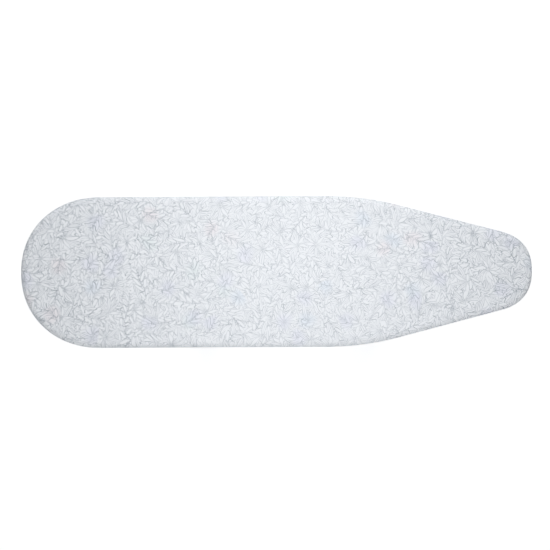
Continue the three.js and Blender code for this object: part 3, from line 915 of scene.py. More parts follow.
def rounded_path(corners: Sequence[Point], bend: float, steps: int = 6) -> np.ndarray:
    """A path through corners, each rounded with a bend of that radius.

    Args:
        corners: the corners and the two ends.
        bend: the radius of the bends.
        steps: how many steps a bend takes.

    Returns:
        The points of the path.
    """
    points = [np.array(p, float) for p in corners]
    path = [points[0]]
    for before, corner, after in zip(points, points[1:], points[2:]):
        into = (before - corner) / np.linalg.norm(before - corner)
        out = (after - corner) / np.linalg.norm(after - corner)
        for i in range(steps + 1):
            t = i / steps
            path.append(corner + bend * ((1 - t) ** 2 * into + t**2 * out))
    return np.array([*path, points[-1]])


def in_mm(pairs: Sequence[Flat], start: float = 0.0) -> list[Flat]:
    """Pairs of radius and distance in millimetres as metres, the distances counted from a start."""
    return [(radius * MM, start + distance * MM) for radius, distance in pairs]


def domed(radius: float, rise: float, steps: int, start: float = 0.0) -> list[Flat]:
    """A quarter ellipse from a rim to its top, as pairs of radius and distance."""
    turns = np.linspace(0, math.pi / 2, steps)
    return [(radius * math.cos(a), start + rise * math.sin(a)) for a in turns]


def mirrored(half: list[Flat]) -> list[Flat]:
    """A turned bar's profile: its first half, and the same the other way round."""
    return half + [(radius, -place) for radius, place in reversed(half)]


def joined_up(piece: Piece, count: int | None = None) -> None:
    """Joins a skin's doubled points, its first ones or all of them, and turns its faces outwards.

    Args:
        piece: the skin.
        count: how many of its first points are joined, or None for all.
    """
    grown = bmesh.new()
    grown.from_mesh(piece.data)
    doubled = [v for v in grown.verts if count is None or v.index < count]
    bmesh.ops.remove_doubles(grown, verts=doubled, dist=0.02 * MM)
    bmesh.ops.recalc_face_normals(grown, faces=grown.faces)
    grown.to_mesh(piece.data)
    grown.free()


# ---------------------------------------------------------------- the board's outline


@dataclass(frozen=True)
class Outline:
    """The board's plan: a round tail, straight sides, and a taper to a blunt nose."""

    length: float = 1.21
    width: float = 0.3575
    tail: float = 0.189
    tail_power: float = 2.12
    nose: float = 0.122
    nose_half: float = 0.098
    nose_power: float = 2.4
    taper: float = math.radians(14.7)
    shoulder: float = 0.69

    def rounded(self, way: int, reach: float, wide: float, power: float, angles: np.ndarray) -> list[Flat]:
        """Points of a superellipse at one end.

        Args:
            way: 1 at the nose, -1 at the tail.
            reach: how far it runs along the board.
            wide: half its width.
            power: its power, 2 for an ellipse.
            angles: where the points are, from the tip.

        Returns:
            The points.
        """
        across = np.maximum(np.sin(angles), 0) ** (2 / power)
        along = np.maximum(np.cos(angles), 0) ** (2 / power)
        return list(zip(way * (self.length / 2 - reach + reach * along), wide * across))

    def half(self) -> list[Flat]:
        """Closely spaced points of the left half, from the tip of the nose to the tail.

        Returns:
            The points, as pairs of x and y.
        """
        right = math.pi / 2
        steep = math.tan(self.taper) * self.nose / self.nose_half
        leave = right - math.atan(steep ** (1 / (2 - 2 / self.nose_power)))
        nose = self.rounded(1, self.nose, self.nose_half, self.nose_power, np.linspace(0, leave, 160))
        corner = nose[-1][0] - (self.width / 2 - nose[-1][1]) / math.tan(self.taper)
        middle = corner - self.shoulder * math.tan(self.taper / 2)
        bend = [
            (middle + self.shoulder * math.cos(a), self.width / 2 + self.shoulder * (math.sin(a) - 1))
            for a in np.linspace(right - self.taper, right, 60)
        ]
        back = self.rounded(-1, self.tail, self.width / 2, self.tail_power, np.linspace(right, 0, 220))
        return [*nose, *bend, *back]

    def loop(self, count: int) -> tuple[np.ndarray, np.ndarray]:
        """Evenly spaced points round the whole outline, and the outward way at each.

        Args:
            count: how many points.

        Returns:
            The points and the ways, each as count rows of x and y.
        """
        left = np.array(self.half())
        whole = np.vstack([left, left[-2:0:-1] * (1, -1)])
        whole = np.vstack([whole, whole[:1]])
        lengths = np.r_[0, np.cumsum(np.linalg.norm(np.diff(whole, axis=0), axis=1))]
        marks = np.linspace(0, lengths[-1], count, endpoint=False)
        points = np.stack([np.interp(marks, lengths, whole[:, k]) for k in (0, 1)], 1)
        ahead = np.roll(points, -1, 0) - np.roll(points, 1, 0)
        ahead /= np.linalg.norm(ahead, axis=1)[:, None]
        return points, np.stack([ahead[:, 1], -ahead[:, 0]], 1)

    def sweep(self, profile: Sequence[Point], count: int) -> np.ndarray:
        """Rings of a profile of inset and height, carried round the outline.

        Args:
            profile: pairs of inset and height.
            count: how many points go round.

        Returns:
            The rings, one for each pair.
        """
        points, ways = self.loop(count)
        rings = []
        for inset, height in profile:
            flat = points - ways * inset
            rings.append(np.column_stack([flat, np.full(count, height)]))
        return np.array(rings)

    def spine(self, points: np.ndarray) -> np.ndarray:
        """The point of the board's middle line that each edge point faces.

        Args:
            points: points of the edge.

        Returns:
            A point of the middle line for each.
        """
        low = -self.length / 2 + self.tail
        high = self.length / 2 - self.nose
        share = (points[:, 0] + self.length / 2) / self.length
        return np.stack([low + (high - low) * share, np.zeros(len(points))], 1)

    def holds(self, x: float, y: float, inset: float) -> bool:
        """Whether a point is inside the outline by at least inset.

        Args:
            x: its place along the board.
            y: its place across.
            inset: how far inside it has to be.

        Returns:
            Whether it is.
        """
        half = np.array(self.half())
        if abs(x) > self.length / 2 - inset:
            return False
        near = np.hypot(half[:, 0] - x, half[:, 1] - abs(y)).min()
        edge = np.interp(-x, -half[:, 0], half[:, 1])
        return abs(y) < edge and near > inset


OUTLINE = Outline()
SIDES = (("left", 1), ("right", -1))
TILT = math.radians(31)
HINGE_Z = sum(corner.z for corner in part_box("hinge_pin_left")) / 2
SLIDE_X = sum(corner.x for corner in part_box("slide_axle")) / 2


def level(node: str, top: bool) -> float:
    """The height of a plain solid's top or bottom."""
    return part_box(node)[1 if top else 0].z


# ---------------------------------------------------------------- the soft top


@dataclass
class SoftTop:
    """The fitted printed cover with its gathered hem, the felt below it and the elastic in the hem.

    Every inset is counted inwards from the board's edge. The hem's gathers are two waves that go round
    it that many times.
    """

    around: int = 760
    edge_reach: float = 15 * MM
    edge_drop: float = 8 * MM
    hem_width: float = 36 * MM
    casing: float = 3.4 * MM
    elastic_inset: float = 33 * MM
    stitch_inset: float = 25.5 * MM
    stitch_pitch: float = 4.2 * MM
    stitch_run: float = 2.8
    gather: float = 1.7 * MM
    gathers: tuple[int, int] = (255, 391)
    felt_inset: float = 9.5 * MM

    def __post_init__(self) -> None:
        """Takes the heights from the plain solids."""
        self.top = level("cover", True)
        self.bottom = level("cover", False)

    def edge(self) -> list[Triple]:
        """The cover's profile from its top edge down to the fold: inset, height and cloth from the top.

        Returns:
            The steps of the profile.
        """
        steps = [
            (self.edge_reach * (1 - math.sin(a)), self.top - self.edge_drop * (1 - math.cos(a)))
            for a in np.linspace(0, math.pi / 2, 13)
        ]
        low = self.bottom + 3 * MM
        steps += [(0.0, z) for z in np.linspace(self.top - self.edge_drop, low, 7)[1:]]
        fold = np.linspace(0, math.pi / 2, 5)[1:]
        steps += [(3 * MM * (1 - math.cos(a)), low - 3 * MM * math.sin(a)) for a in fold]
        marks, run = [], 0.0
        for i, (inset, z) in enumerate(steps):
            if i:
                run += math.hypot(inset - steps[i - 1][0], z - steps[i - 1][1])
            marks.append((inset, z, run))
        return marks

    def cloth_map(self, piece: Piece, flat: np.ndarray) -> None:
        """Gives a piece the flat coordinates that its print is drawn from.

        Args:
            piece: the cloth.
            flat: x and y on the flat cloth for each of its points, in metres.
        """
        layer = piece.data.uv_layers.new(name=PrintedCotton.CLOTH)
        corners = np.empty(len(piece.data.loops), np.int32)
        piece.data.loops.foreach_get("vertex_index", corners)
        layer.data.foreach_set("uv", flat[corners].astype(np.float32).ravel())

    def ripple(self, index: float, inset: float) -> float:
        """How far the gathered cloth stands off at a place round the edge.

        Args:
            index: which of the cover's points round the edge.
            inset: how far in from the edge.

        Returns:
            The height as a share of the gather.
        """
        turn = FULL_TURN * index / self.around
        wander = noise(Vector((9 * math.cos(turn), 9 * math.sin(turn), 3.1)))
        wide, narrow = (count * turn for count in self.gathers)
        wave = math.sin(wide + 5.5 * wander) + 0.5 * math.sin(narrow + 4 * wander)
        return wave * (0.75 + 0.5 * wander) * min(1.0, inset / self.hem_width) ** 1.4

    def cover(self) -> Piece:
        """The top and sides of the cover, as one skin of cloth over the felt.

        Returns:
            The piece.
        """
        points, ways = OUTLINE.loop(self.around)
        spine = OUTLINE.spine(points)
        rings, flats = [], []
        rim = points - ways * self.edge_reach
        for share in np.linspace(0, 1, 40)[:-1]:
            flat = spine + (rim - spine) * share
            rings.append(flat)
            flats.append(flat)
        heights = [np.full(self.around, self.top) for _ in rings]
        for inset, z, run in self.edge():
            rings.append(points - ways * inset)
            heights.append(np.full(self.around, z))
            flats.append(rim + ways * run)
        for flat, z in zip(rings, heights):
            inset = np.linalg.norm(points - flat, axis=1)
            for i, (x, y) in enumerate(flat):
                soft = noise(Vector((7 * x, 9 * y, 0.4))) * 0.5 + noise(Vector((26 * x, 26 * y, 2.7))) * 0.22
                pad = 1 - math.exp(-inset[i] / (14 * MM))
                z[i] += soft * pad * MM * 0.8 - 0.35 * MM
            if z[0] < self.top - 1.1 * self.edge_drop:
                depth = (self.top - z) / (self.top - self.bottom)
                out = np.array([self.ripple(i, self.hem_width) for i in range(self.around)])
                flat += ways * (out * depth**3 * 0.45 * MM)[:, None]
        work = Work().grid(np.array([np.column_stack(pair) for pair in zip(rings, heights)]))
        piece = work.piece("printed_cover", COTTON, Body.BOARD, ["cover"], 70)
        self.cloth_map(piece, np.vstack(flats))
        joined_up(piece, self.around)
        return piece

    def hem(self) -> Piece:
        """The gathered cloth under the rim, folded back round the elastic.

        Returns:
            The piece.
        """
        points, ways = OUTLINE.loop(self.around * 2)
        steps = [(inset * MM, 0.0) for inset in (2.4, 5, 9, 13, 17, 21, 25, 29, 32)]
        steps += [
            (self.elastic_inset + self.casing * math.sin(a), self.casing * (1 - math.cos(a)))
            for a in np.linspace(0.2, math.pi, 9)
        ]
        steps += [(30 * MM, 1.9 * self.casing), (27 * MM, 0.8 * self.casing), (25 * MM, 0.7 * MM)]
        rings, flats, run = [], [], 0.0
        for i, (inset, up) in enumerate(steps):
            if i:
                run += math.hypot(inset - steps[i - 1][0], up - steps[i - 1][1])
            wave = np.array([self.ripple(k / 2, inset) for k in range(len(points))])
            held = 1.0 if up < self.casing else 0.6
            z = self.bottom + up - 0.1 * MM + wave * held * self.gather
            rings.append(np.column_stack([points - ways * (inset + 0.35 * MM * wave)[:, None], z]))
            flats.append(points + ways * (run + 28 * MM))
        piece = Work().grid(np.array(rings)).piece("cover_hem", COTTON, Body.BOARD, (), 70)
        self.cloth_map(piece, np.vstack(flats))
        return piece

    def stitches(self) -> Piece:
        """The row of stitches that closes the fold of the hem.

        Returns:
            The piece.
        """
        count = int(self.stitch_run / self.stitch_pitch)
        points, ways = OUTLINE.loop(count)
        work = Work()
        for k, (point, way) in enumerate(zip(points, ways)):
            ahead = np.array([-way[1], way[0]])
            wave = self.ripple(k * self.around / count, self.stitch_inset)
            z = self.bottom - 0.25 * MM + wave * self.gather
            middle = np.array([*(point - way * self.stitch_inset), z])
            reach = np.array([*(ahead * 1.35 * MM), 0.0])
            path = [middle - reach, middle - reach * 0.5, middle + reach * 0.5, middle + reach]
            work.sweep(path, [0.05 * MM, 0.24 * MM, 0.24 * MM, 0.05 * MM], 5)
        return work.piece("hem_stitches", THREAD, Body.BOARD)

    def felt(self) -> Piece:
        """The felt pad: flat below, with a soft edge and a slightly uneven top.

        Returns:
            The piece.
        """
        high, low = level("felt_pad", True), level("felt_pad", False)
        points, ways = OUTLINE.loop(420)
        spine = OUTLINE.spine(points)
        rim = points - ways * self.felt_inset
        rings = []
        for share in np.linspace(0, 1, 14)[:-1]:
            flat = spine + (rim - spine) * share
            rings.append(np.column_stack([flat, np.full(len(points), high)]))
        slope = ((9.5, 0.25), (7.5, 0.7), (6.0, 1.3), (4.5, 2.05))
        slope += ((3.3, 2.9), (2.4, 3.8), (2.1, 4.4), (2.3, 5.0))
        for inset, drop in slope:
            z = np.full(len(points), high - drop * MM)
            rings.append(np.column_stack([points - ways * inset * MM, z]))
        rings.append(np.column_stack([rim, np.full(len(points), low)]))
        for share in (0.6, 0.2, 0.0):
            flat = spine + (rim - spine) * share
            rings.append(np.column_stack([flat, np.full(len(points), low)]))
        made = np.array(rings)
        for ring in made[:13]:
            for p in ring:
                p[2] -= 0.25 * MM + 0.2 * MM * noise(Vector((40 * p[0], 40 * p[1], 5.0)))
        piece = Work().grid(made).piece("felt_layer", FELT, Body.BOARD, ["felt_pad"])
        joined_up(piece)
        return piece

    def elastic(self) -> Piece:
        """The elastic cord, which wanders a little in its fold.

        Returns:
            The piece.
        """
        count = 700
        points, ways = OUTLINE.loop(count)
        path = []
        for k, (point, way) in enumerate(zip(points, ways)):
            turn = FULL_TURN * k / count
            off = 0.5 * MM * noise(Vector((22 * math.cos(turn), 22 * math.sin(turn), 7.7)))
            wave = self.ripple(k * self.around / count, self.elastic_inset)
            z = self.bottom + self.casing + wave * self.gather * 0.7
            path.append([*(point - way * (self.elastic_inset + off)), z])
        work = Work().sweep(np.array(path), 1.35 * MM, 8, closed=True)
        return work.piece("elastic_cord", ELASTIC, Body.BOARD, ["hem_elastic"])

    def build(self) -> list[Piece]:
        """Returns:
            The pieces.
        """
        felt = self.felt()
        cover, hem = self.cover(), self.hem()
        run = self.edge()[-1][2]
        points, ways = OUTLINE.loop(self.around)
        cut = points + ways * (run - self.edge_reach)
        size = cut.max(0) - cut.min(0)
        return [felt, cover, hem, self.stitches(), self.elastic()]


# ---------------------------------------------------------------- the steel top


@dataclass
class SteelTop:
    """The perforated panel on its channel rim, with ribs and spot welds below."""

    around: int = 480
    rim_wall: float = 1.2 * MM
    rim_width: float = 14 * MM
    hole: float = 3.9 * MM
    pitch: float = 14.5 * MM
    margin: float = 22 * MM
    rib_slots: ClassVar[tuple[tuple[str, float], ...]] = (
        ("nose_rib", 0.43),
        ("hinge_rib", 0.245),
        ("front_rail_rib", -0.108),
        ("middle_rib", -0.335),
        ("rear_rail_rib", -0.554),
    )

    def rim(self) -> Piece:
        """The rolled channel, with small bends along its corners.

        Returns:
            The piece.
        """
        top, low = level("rim_frame", True), level("rim_frame", False)
        out, wall = 2.0 * MM, self.rim_wall
        far, bend = out + self.rim_width, 1.6 * MM
        profile = [(out, low), (out, top - bend), (out + bend * 0.3, top - bend * 0.3), (out + bend, top)]
        profile += [(far - bend, top), (far - bend * 0.3, top - bend * 0.3), (far, top - bend), (far, low)]
        profile += [(far - wall, low), (far - wall, top - bend), (far - wall - 0.5 * MM, top - wall)]
        profile += [(out + wall + 0.5 * MM, top - wall), (out + wall, top - bend), (out + wall, low)]
        rings = OUTLINE.sweep(profile, self.around)
        work = Work().grid(rings, close_rings=True)
        return work.piece("rim_channel", PANEL_COAT, Body.BOARD, ["rim_frame"], 50)

    def holes(self) -> list[Flat]:
        """Where the steam holes go: rows set half a pitch apart, clear of the edge and the ribs.

        Returns:
            The holes' middles.
        """
        row = self.pitch * math.sqrt(3) / 2
        found = []
        for j in range(-12, 13):
            for i in range(-42, 43):
                x, y = (i + 0.5 * (j % 2)) * self.pitch, j * row
                if any(abs(x - at) < 16 * MM for _, at in self.rib_slots):
                    continue
                if OUTLINE.holds(x, y, self.margin):
                    found.append((x, y))
        return found

    def panel(self) -> Piece:
        """The panel: a steel sheet with round steam holes.

        Returns:
            The piece.
        """
        top, low = level("top_panel", True), level("top_panel", False)
        sides = 10
        edge, ways = OUTLINE.loop(self.around)
        loops = [edge - ways * 2 * MM]
        turns = np.linspace(0, FULL_TURN, sides, endpoint=False)
        around = self.hole * np.stack([np.cos(turns), np.sin(turns)], 1)
        centres = self.holes()
        loops += [around + centre for centre in centres]
        points = np.vstack(loops)
        ends, start = [], 0
        for loop in loops:
            n = len(loop)
            ends += [(start + k, start + (k + 1) % n) for k in range(n)]
            start += n
        flat, _, faces, *_ = delaunay_2d_cdt([Vector(p) for p in points], ends, [], 1, 1e-7)
        flat = np.array([tuple(p) for p in flat])
        kept = []
        spots = np.array(centres)
        for face in faces:
            middle = flat[list(face)].mean(0)
            if np.hypot(*(spots - middle).T).min() > self.hole * 0.97:
                kept.append(tuple(face))
        count = len(flat)
        both = np.vstack([np.column_stack([flat, np.full(count, z)]) for z in (top, low)])
        rims: dict[tuple[int, int], None] = {}
        for face in kept:
            for a, b in zip(face, face[1:] + face[:1]):
                if (b, a) in rims:
                    del rims[(b, a)]
                else:
                    rims[(a, b)] = None
        skin = kept + [tuple(i + count for i in reversed(face)) for face in kept]
        skin += [(b, a, a + count, b + count) for a, b in rims]
        work = Work().add(both, skin)
        LOG.info("%d steam holes", len(centres))
        return work.piece("steam_panel", PANEL_COAT, Body.BOARD, ["top_panel"], 30)

    def ribs(self) -> list[Piece]:
        """The five channel ribs with rounded folds, and the spot welds along them.

        Returns:
            The pieces.
        """
        made = [eased(node, PANEL_COAT, Body.BOARD, 0.55 * MM) for node, _ in self.rib_slots]
        spot = in_mm([(3.4, -0.1), (3.2, 0.25), (2.2, 0.5), (0, 0.35)])
        work = Work()
        for node, x in self.rib_slots:
            low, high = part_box(node)
            reach = high.y - 14 * MM
            for y in np.linspace(-reach, reach, 5):
                if abs(y) < 4 * MM:
                    continue
                work.lathe(spot, (x, y, low.z), (0, 0, -1), 20)
        return [*made, work.piece("rib_spot_welds", PANEL_COAT, Body.BOARD)]

    def build(self) -> list[Piece]:
        """Makes the steel pieces."""
        return [self.rim(), self.panel(), *self.ribs()]


def rivet(work: Work, at: Point, axis: Point, head: float = 4.6 * MM, rise: float = 1.5 * MM) -> None:
    """Adds a domed rivet head that stands on a face.

    Args:
        work: the piece that it's added to.
        at: the middle of its foot.
        axis: the way it stands.
        head: its radius.
        rise: its height.
    """
    dimple = [(head * 0.22, rise * 0.96), (0, rise * 0.7)]
    work.lathe([(head * 0.96, -0.1 * MM), *domed(head, rise, 6)[:-1], *dimple], at, axis, 24)


@dataclass
class Fittings:
    """What hangs under the steel top: hinge brackets and pins, guide rods and their brackets."""

    hinge_x: float = 0.245
    leg_y: float = 0.1
    rod_y: float = 0.02

    def hinges(self) -> list[Piece]:
        """The brackets, their pins with domed heads, and the rivets that hold them to the rib.

        Returns:
            The pieces.
        """
        made = []
        rivets = Work()
        for word, side in SIDES:
            made.append(eased(f"hinge_bracket_{word}", ZINC, Body.BOARD, 0.5 * MM))
            low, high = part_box(f"hinge_pin_{word}")
            inner, outer = sorted((abs(low.y), abs(high.y)))
            head = [(0, 0), (5.2, 0), (6.6, 0.5), (7, 1.1), (7, 1.9), (4, 1.9)]
            dome = [(4, -2.8), (7, -2.8), (7, -1.9), (6.3, -0.9), (4.4, -0.2), (1.6, 0)]
            dome += [(1.2, -0.5), (0, -0.6)]
            profile = in_mm(head) + in_mm(dome, outer - inner)
            pin = Work().lathe(profile, (self.hinge_x, side * inner, HINGE_Z), (0, side, 0), 36)
            made.append(pin.piece(f"hinge_rivet_{word}", ZINC, Body.BOARD, [f"hinge_pin_{word}"]))
            under = level(f"hinge_bracket_{word}", True) - 1.6 * MM
            for x in (self.hinge_x - 8 * MM, self.hinge_x + 8 * MM):
                rivet(rivets, (x, side * self.leg_y, under), (0, 0, -1), 3.8 * MM, 1.2 * MM)
        made.append(rivets.piece("bracket_rivets", ZINC, Body.BOARD))
        return made

    def rails(self) -> list[Piece]:
        """The guide rods with chamfered ends, in their bent brackets.

        Returns:
            The pieces.
        """
        made = []
        for word, side in SIDES:
            low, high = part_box(f"guide_rod_{word}")
            radius, length = (high.z - low.z) / 2, high.x - low.x
            slim, bevel = radius - 0.8 * MM, 0.8 * MM
            ends = [(slim, 0), (radius, bevel), (radius, length - bevel), (slim, length)]
            at = (low.x, side * self.rod_y, (low.z + high.z) / 2)
            rod = Work().lathe([(0, 0), *ends, (0, length)], at, (1, 0, 0), 32)
            made.append(rod.piece(f"slide_rod_{word}", ZINC, Body.BOARD, [f"guide_rod_{word}"], 30))
        rivets = Work()
        for word in ("front", "rear"):
            node = f"rod_bracket_{word}"
            made.append(eased(node, ZINC, Body.BOARD, 0.5 * MM))
            low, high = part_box(node)
            for y in (-24 * MM, 0.0, 24 * MM):
                rivet(rivets, (high.x - 7.5 * MM, y, high.z - 1.6 * MM), (0, 0, -1), 3.4 * MM, 1.1 * MM)
        made.append(rivets.piece("rail_rivets", ZINC, Body.BOARD))
        return made

    def build(self) -> list[Piece]:
        """Makes the fittings."""
        return [*self.hinges(), *self.rails()]


# ---------------------------------------------------------------- legs

@dataclass
class Leg:
    """One of the two crossing legs: side tubes, brace, foot bar, plugs, feet and welds."""

    name: str
    body: Body
    top: Triple
    lean: float
    leg_y: float
    brace_down: float
    bar_half: float
    foot_y: float
    length: float = 0.99
    tube: float = 11 * MM
    brace: float = 8 * MM
    overhang: float = 16 * MM

    def at(self, down: float, y: float = 0.0) -> np.ndarray:
        """A point that far down the leg's middle line from its top pivot, at a place across."""
        x, _, z = self.top
        return np.array([x - self.lean * down * math.sin(TILT), y, z - down * math.cos(TILT)])

    def way(self) -> np.ndarray:
        """The way down the leg."""
        return self.at(1.0) - self.at(0.0)

    def named(
        self, work: Work, word: str, finish: Finish, node: str = "", sharp: float = 38.0
    ) -> Piece:
        """Finishes one of the leg's pieces.

        Args:
            work: the piece in the making.
            word: its name on this leg.
            finish: what it is finished in.
            node: the name on this leg of the plain solid that it stands for, if any.
            sharp: edges that turn by more degrees than this stay sharp.

        Returns:
            The piece.
        """
        solids = [f"{self.name}_{node}"] if node else []
        return work.piece(f"{self.name}_{word}", finish, self.body, solids, sharp)

    def weld(
        self, work: Work, centre: np.ndarray, main: np.ndarray, radius: float, stub: np.ndarray, thin: float
    ) -> None:
        """Adds the weld bead where a tube lands on another.

        Args:
            work: the piece that it's added to.
            centre: where their middle lines meet.
            main: the way of the tube that is landed on.
            radius: that tube's radius.
            stub: the way that the landing tube leaves.
            thin: the landing tube's radius.
        """
        across = np.cross(main, stub)
        across /= np.linalg.norm(across)
        path, sizes = [], []
        for k in range(48):
            turn = FULL_TURN * k / 48
            side, along = thin * math.cos(turn), thin * math.sin(turn)
            rise = math.sqrt(max(radius**2 - min(abs(side), radius * 0.985) ** 2, 0))
            path.append(centre + across * side + main * along + stub * rise)
            sizes.append((1.7 + 0.25 * math.sin(9 * turn + thin * 900)) * MM)
        work.sweep(np.array(path), np.array(sizes), 8, closed=True)

    def tubes(self) -> list[Piece]:
        """The side tubes, each with a rolled top end.

        Returns:
            The pieces.
        """
        made = []
        for word, side in SIDES:
            start, end = (self.at(down, side * self.leg_y) for down in (-self.overhang, self.length))
            length = float(np.linalg.norm(end - start))
            r = self.tube
            lip = [(r - 1.3 * MM, 3 * MM), (r - 1.3 * MM, 0.2 * MM), (r - 0.6 * MM, 0)]
            lip += [(r - 0.1 * MM, 0.5 * MM), (r, 1.2 * MM)]
            body = [(r, d) for d in np.linspace(2 * MM, length, 12)]
            work = Work().lathe([(0, 3 * MM), *lip, *body], start, self.way(), 40)
            made.append(self.named(work, f"tube_{word}", TUBE_COAT, f"leg_tube_{word}"))
        return made

    def crossbars(self) -> list[Piece]:
        """The brace and the foot bar, and the welds that hold them.

        Returns:
            The pieces.
        """
        half = self.leg_y - 4 * MM
        rod = [(self.brace, -half), (self.brace, 0), (self.brace, half)]
        brace = Work().lathe(rod, self.at(self.brace_down), (0, 1, 0), 32)
        foot = self.at(self.length)
        r = self.tube
        ends = [(0, -1.0), (r - 1.4 * MM, -1.0), (r - 0.5 * MM, -1.0), (r, -0.99)]
        profile = [(size, share * self.bar_half) for size, share in mirrored(ends)]
        bar = Work().lathe(profile, foot, (0, 1, 0), 40)
        welds = Work()
        across = np.array([0.0, 1.0, 0.0])
        for _, side in SIDES:
            upper, lower = (self.at(down, side * self.leg_y) for down in (self.brace_down, self.length))
            self.weld(welds, lower, across, r, -self.way(), r)
            self.weld(welds, upper, self.way(), r, -side * across, self.brace)
        return [
            self.named(brace, "brace", TUBE_COAT, "leg_brace"),
            self.named(bar, "bar", TUBE_COAT, "foot_bar"),
            self.named(welds, "welds", TUBE_COAT),
        ]

    def plugs(self) -> list[Piece]:
        """The domed plugs in the tops of the tubes.

        Returns:
            The pieces.
        """
        made = []
        r = self.tube
        for word, side in SIDES:
            stem = [(r - 1.8 * MM, -5 * MM), (r - 1.6 * MM, 0.1 * MM), (r - 0.2 * MM, 0.2 * MM)]
            profile = [*stem, (r, 0.7 * MM), *domed(r, 1.9 * MM, 8, 1.2 * MM)]
            work = Work().lathe(profile, self.at(-self.overhang, side * self.leg_y), -self.way(), 36)
            made.append(self.named(work, f"plug_{word}", GREY_PLASTIC, f"leg_plug_{word}"))
        return made

    def feet(self) -> list[Piece]:
        """The moulded feet: ribbed boots with flat soles.

        Returns:
            The pieces.
        """
        made = []
        for word, side in SIDES:
            start = self.bar_half - 24 * MM
            length = self.foot_y - start
            profile = in_mm([(11.4, 2), (11.4, 0), (13.4, 0), (14.4, 0.7), (14.6, 2)])
            for d in np.linspace(3 * MM, length - 7 * MM, 60):
                groove = max(0.0, math.cos(FULL_TURN * d / (5.4 * MM))) ** 2
                profile.append((14.9 * MM - 1.3 * MM * groove * (d < length - 12 * MM), d))
            profile += [
                (15 * MM - 5 * MM * (1 - math.cos(a)), length - 5 * MM * (1 - math.sin(a)))
                for a in np.linspace(0, math.pi / 2, 8)
            ]
            profile.append((0, length))
            foot = self.at(self.length)
            work = Work().lathe(profile, (foot[0], side * start, foot[2]), (0, side, 0), 48)
            for points in work.points:
                points[:, 2] = np.maximum(points[:, 2], 0.0)
            made.append(self.named(work, f"foot_{word}", GREY_PLASTIC, f"foot_cap_{word}", 50))
        return made

    def build(self) -> list[Piece]:
        """Makes the leg's pieces."""
        return [*self.tubes(), *self.crossbars(), *self.plugs(), *self.feet()]


@dataclass
class Crossing:
    """What joins the two legs where they cross, and the axle at the inner leg's top."""

    def bolt(self, word: str, side: int) -> Piece:
        """A scissor bolt with its domed head outside and its nut inside.

        Args:
            word: its side in words.
            side: its side, 1 for left and -1 for right.

        Returns:
            The bolt.
        """
        low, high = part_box(f"scissor_bolt_{word}")
        near, far = sorted((abs(low.y), abs(high.y)))
        at = ((low.x + high.x) / 2, side * near, (low.z + high.z) / 2)
        tip = [(0, 0), (2.6, 0), (3.2, 0.6), (3.2, 2.2), (4, 2.2), (4, 3.0)]
        dome = [(4, -3.6), (8, -3.6), (8, -2.6), (7.2, -1.5), (5.4, -0.5), (3.6, -0.1), (2.9, -0.1)]
        dome += [(2.9, -1.6), (0, -1.6)]
        shank = in_mm(tip) + in_mm(dome, far - near)
        nut = [(3.4, 0.7), (5.6, 0.7), (7.4, 1.5), (7.4, 4.4), (5.8, 4.9), (3.4, 4.9)]
        work = Work().lathe(shank, at, (0, side, 0), 36)
        work.lathe(in_mm(nut), at, (0, side, 0), 6)
        return work.piece(f"crossing_bolt_{word}", ZINC, Body.OUTER_LEG, [f"scissor_bolt_{word}"], 28)

    def spacer(self, word: str, side: int) -> Piece:
        """The grooved nylon spacer between the legs.

        Args:
            word: its side in words.
            side: its side, 1 for left and -1 for right.

        Returns:
            The spacer.
        """
        low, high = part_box(f"scissor_spacer_{word}")
        near, far = sorted((abs(low.y), abs(high.y)))
        ring = [(4.6, 0), (9.2, 0), (10, 0.8), (10, 2.8), (9.4, 3.3), (9.4, 4.1), (10, 4.6)]
        profile = in_mm(ring) + in_mm([(10, -0.8), (9.2, 0), (4.6, 0)], far - near)
        at = ((low.x + high.x) / 2, side * near, (low.z + high.z) / 2)
        work = Work().lathe(profile, at, (0, side, 0), 36)
        return work.piece(f"crossing_spacer_{word}", NYLON, Body.OUTER_LEG, [f"scissor_spacer_{word}"], 40)

    def axle(self) -> Piece:
        """The axle, with chamfered ends.

        Returns:
            The piece.
        """
        low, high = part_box("slide_axle")
        half, radius = (high.y - low.y) / 2, (high.z - low.z) / 2
        ends = [(0, -1.0), (radius - 2.6 * MM, -1.0), (radius - 1.0 * MM, -0.994)]
        ends += [(radius, -0.98), (radius, -0.4)]
        at = ((low.x + high.x) / 2, 0, (low.z + high.z) / 2)
        work = Work().lathe([(r, share * half) for r, share in mirrored(ends)], at, (0, 1, 0), 36)
        return work.piece("leg_axle", ZINC, Body.INNER_LEG, ["slide_axle"], 34)

    def build(self) -> list[Piece]:
        """Makes the bolts with their nuts, the spacers and the axle.

        Returns:
            The pieces.
        """
        made = []
        for word, side in SIDES:
            made += [self.bolt(word, side), self.spacer(word, side)]
        return [*made, self.axle()]


# ---------------------------------------------------------------- slide, lock and release


def spring(from_x: float, to_x: float, y: float, z: float, radius: float, wire: float, turns: int) -> Work:
    """A coil spring along X, with its end turns closed up.

    Args:
        from_x: where it starts.
        to_x: where it ends.
        y: its middle across.
        z: its middle's height.
        radius: from its middle to the wire's middle.
        wire: the wire's radius.
        turns: how many turns it has.

    Returns:
        The work with the spring in it.
    """
    steps = np.linspace(0, 1, turns * 28 + 1)
    eased_in = steps - 0.055 * np.sin(4 * math.pi * steps)
    turn = FULL_TURN * turns * steps
    x = from_x + wire + (to_x - from_x - 2 * wire) * np.clip(eased_in, 0, 1)
    path = np.stack([x, y + radius * np.cos(turn), z + radius * np.sin(turn)], 1)
    return Work().sweep(path, wire, 10)


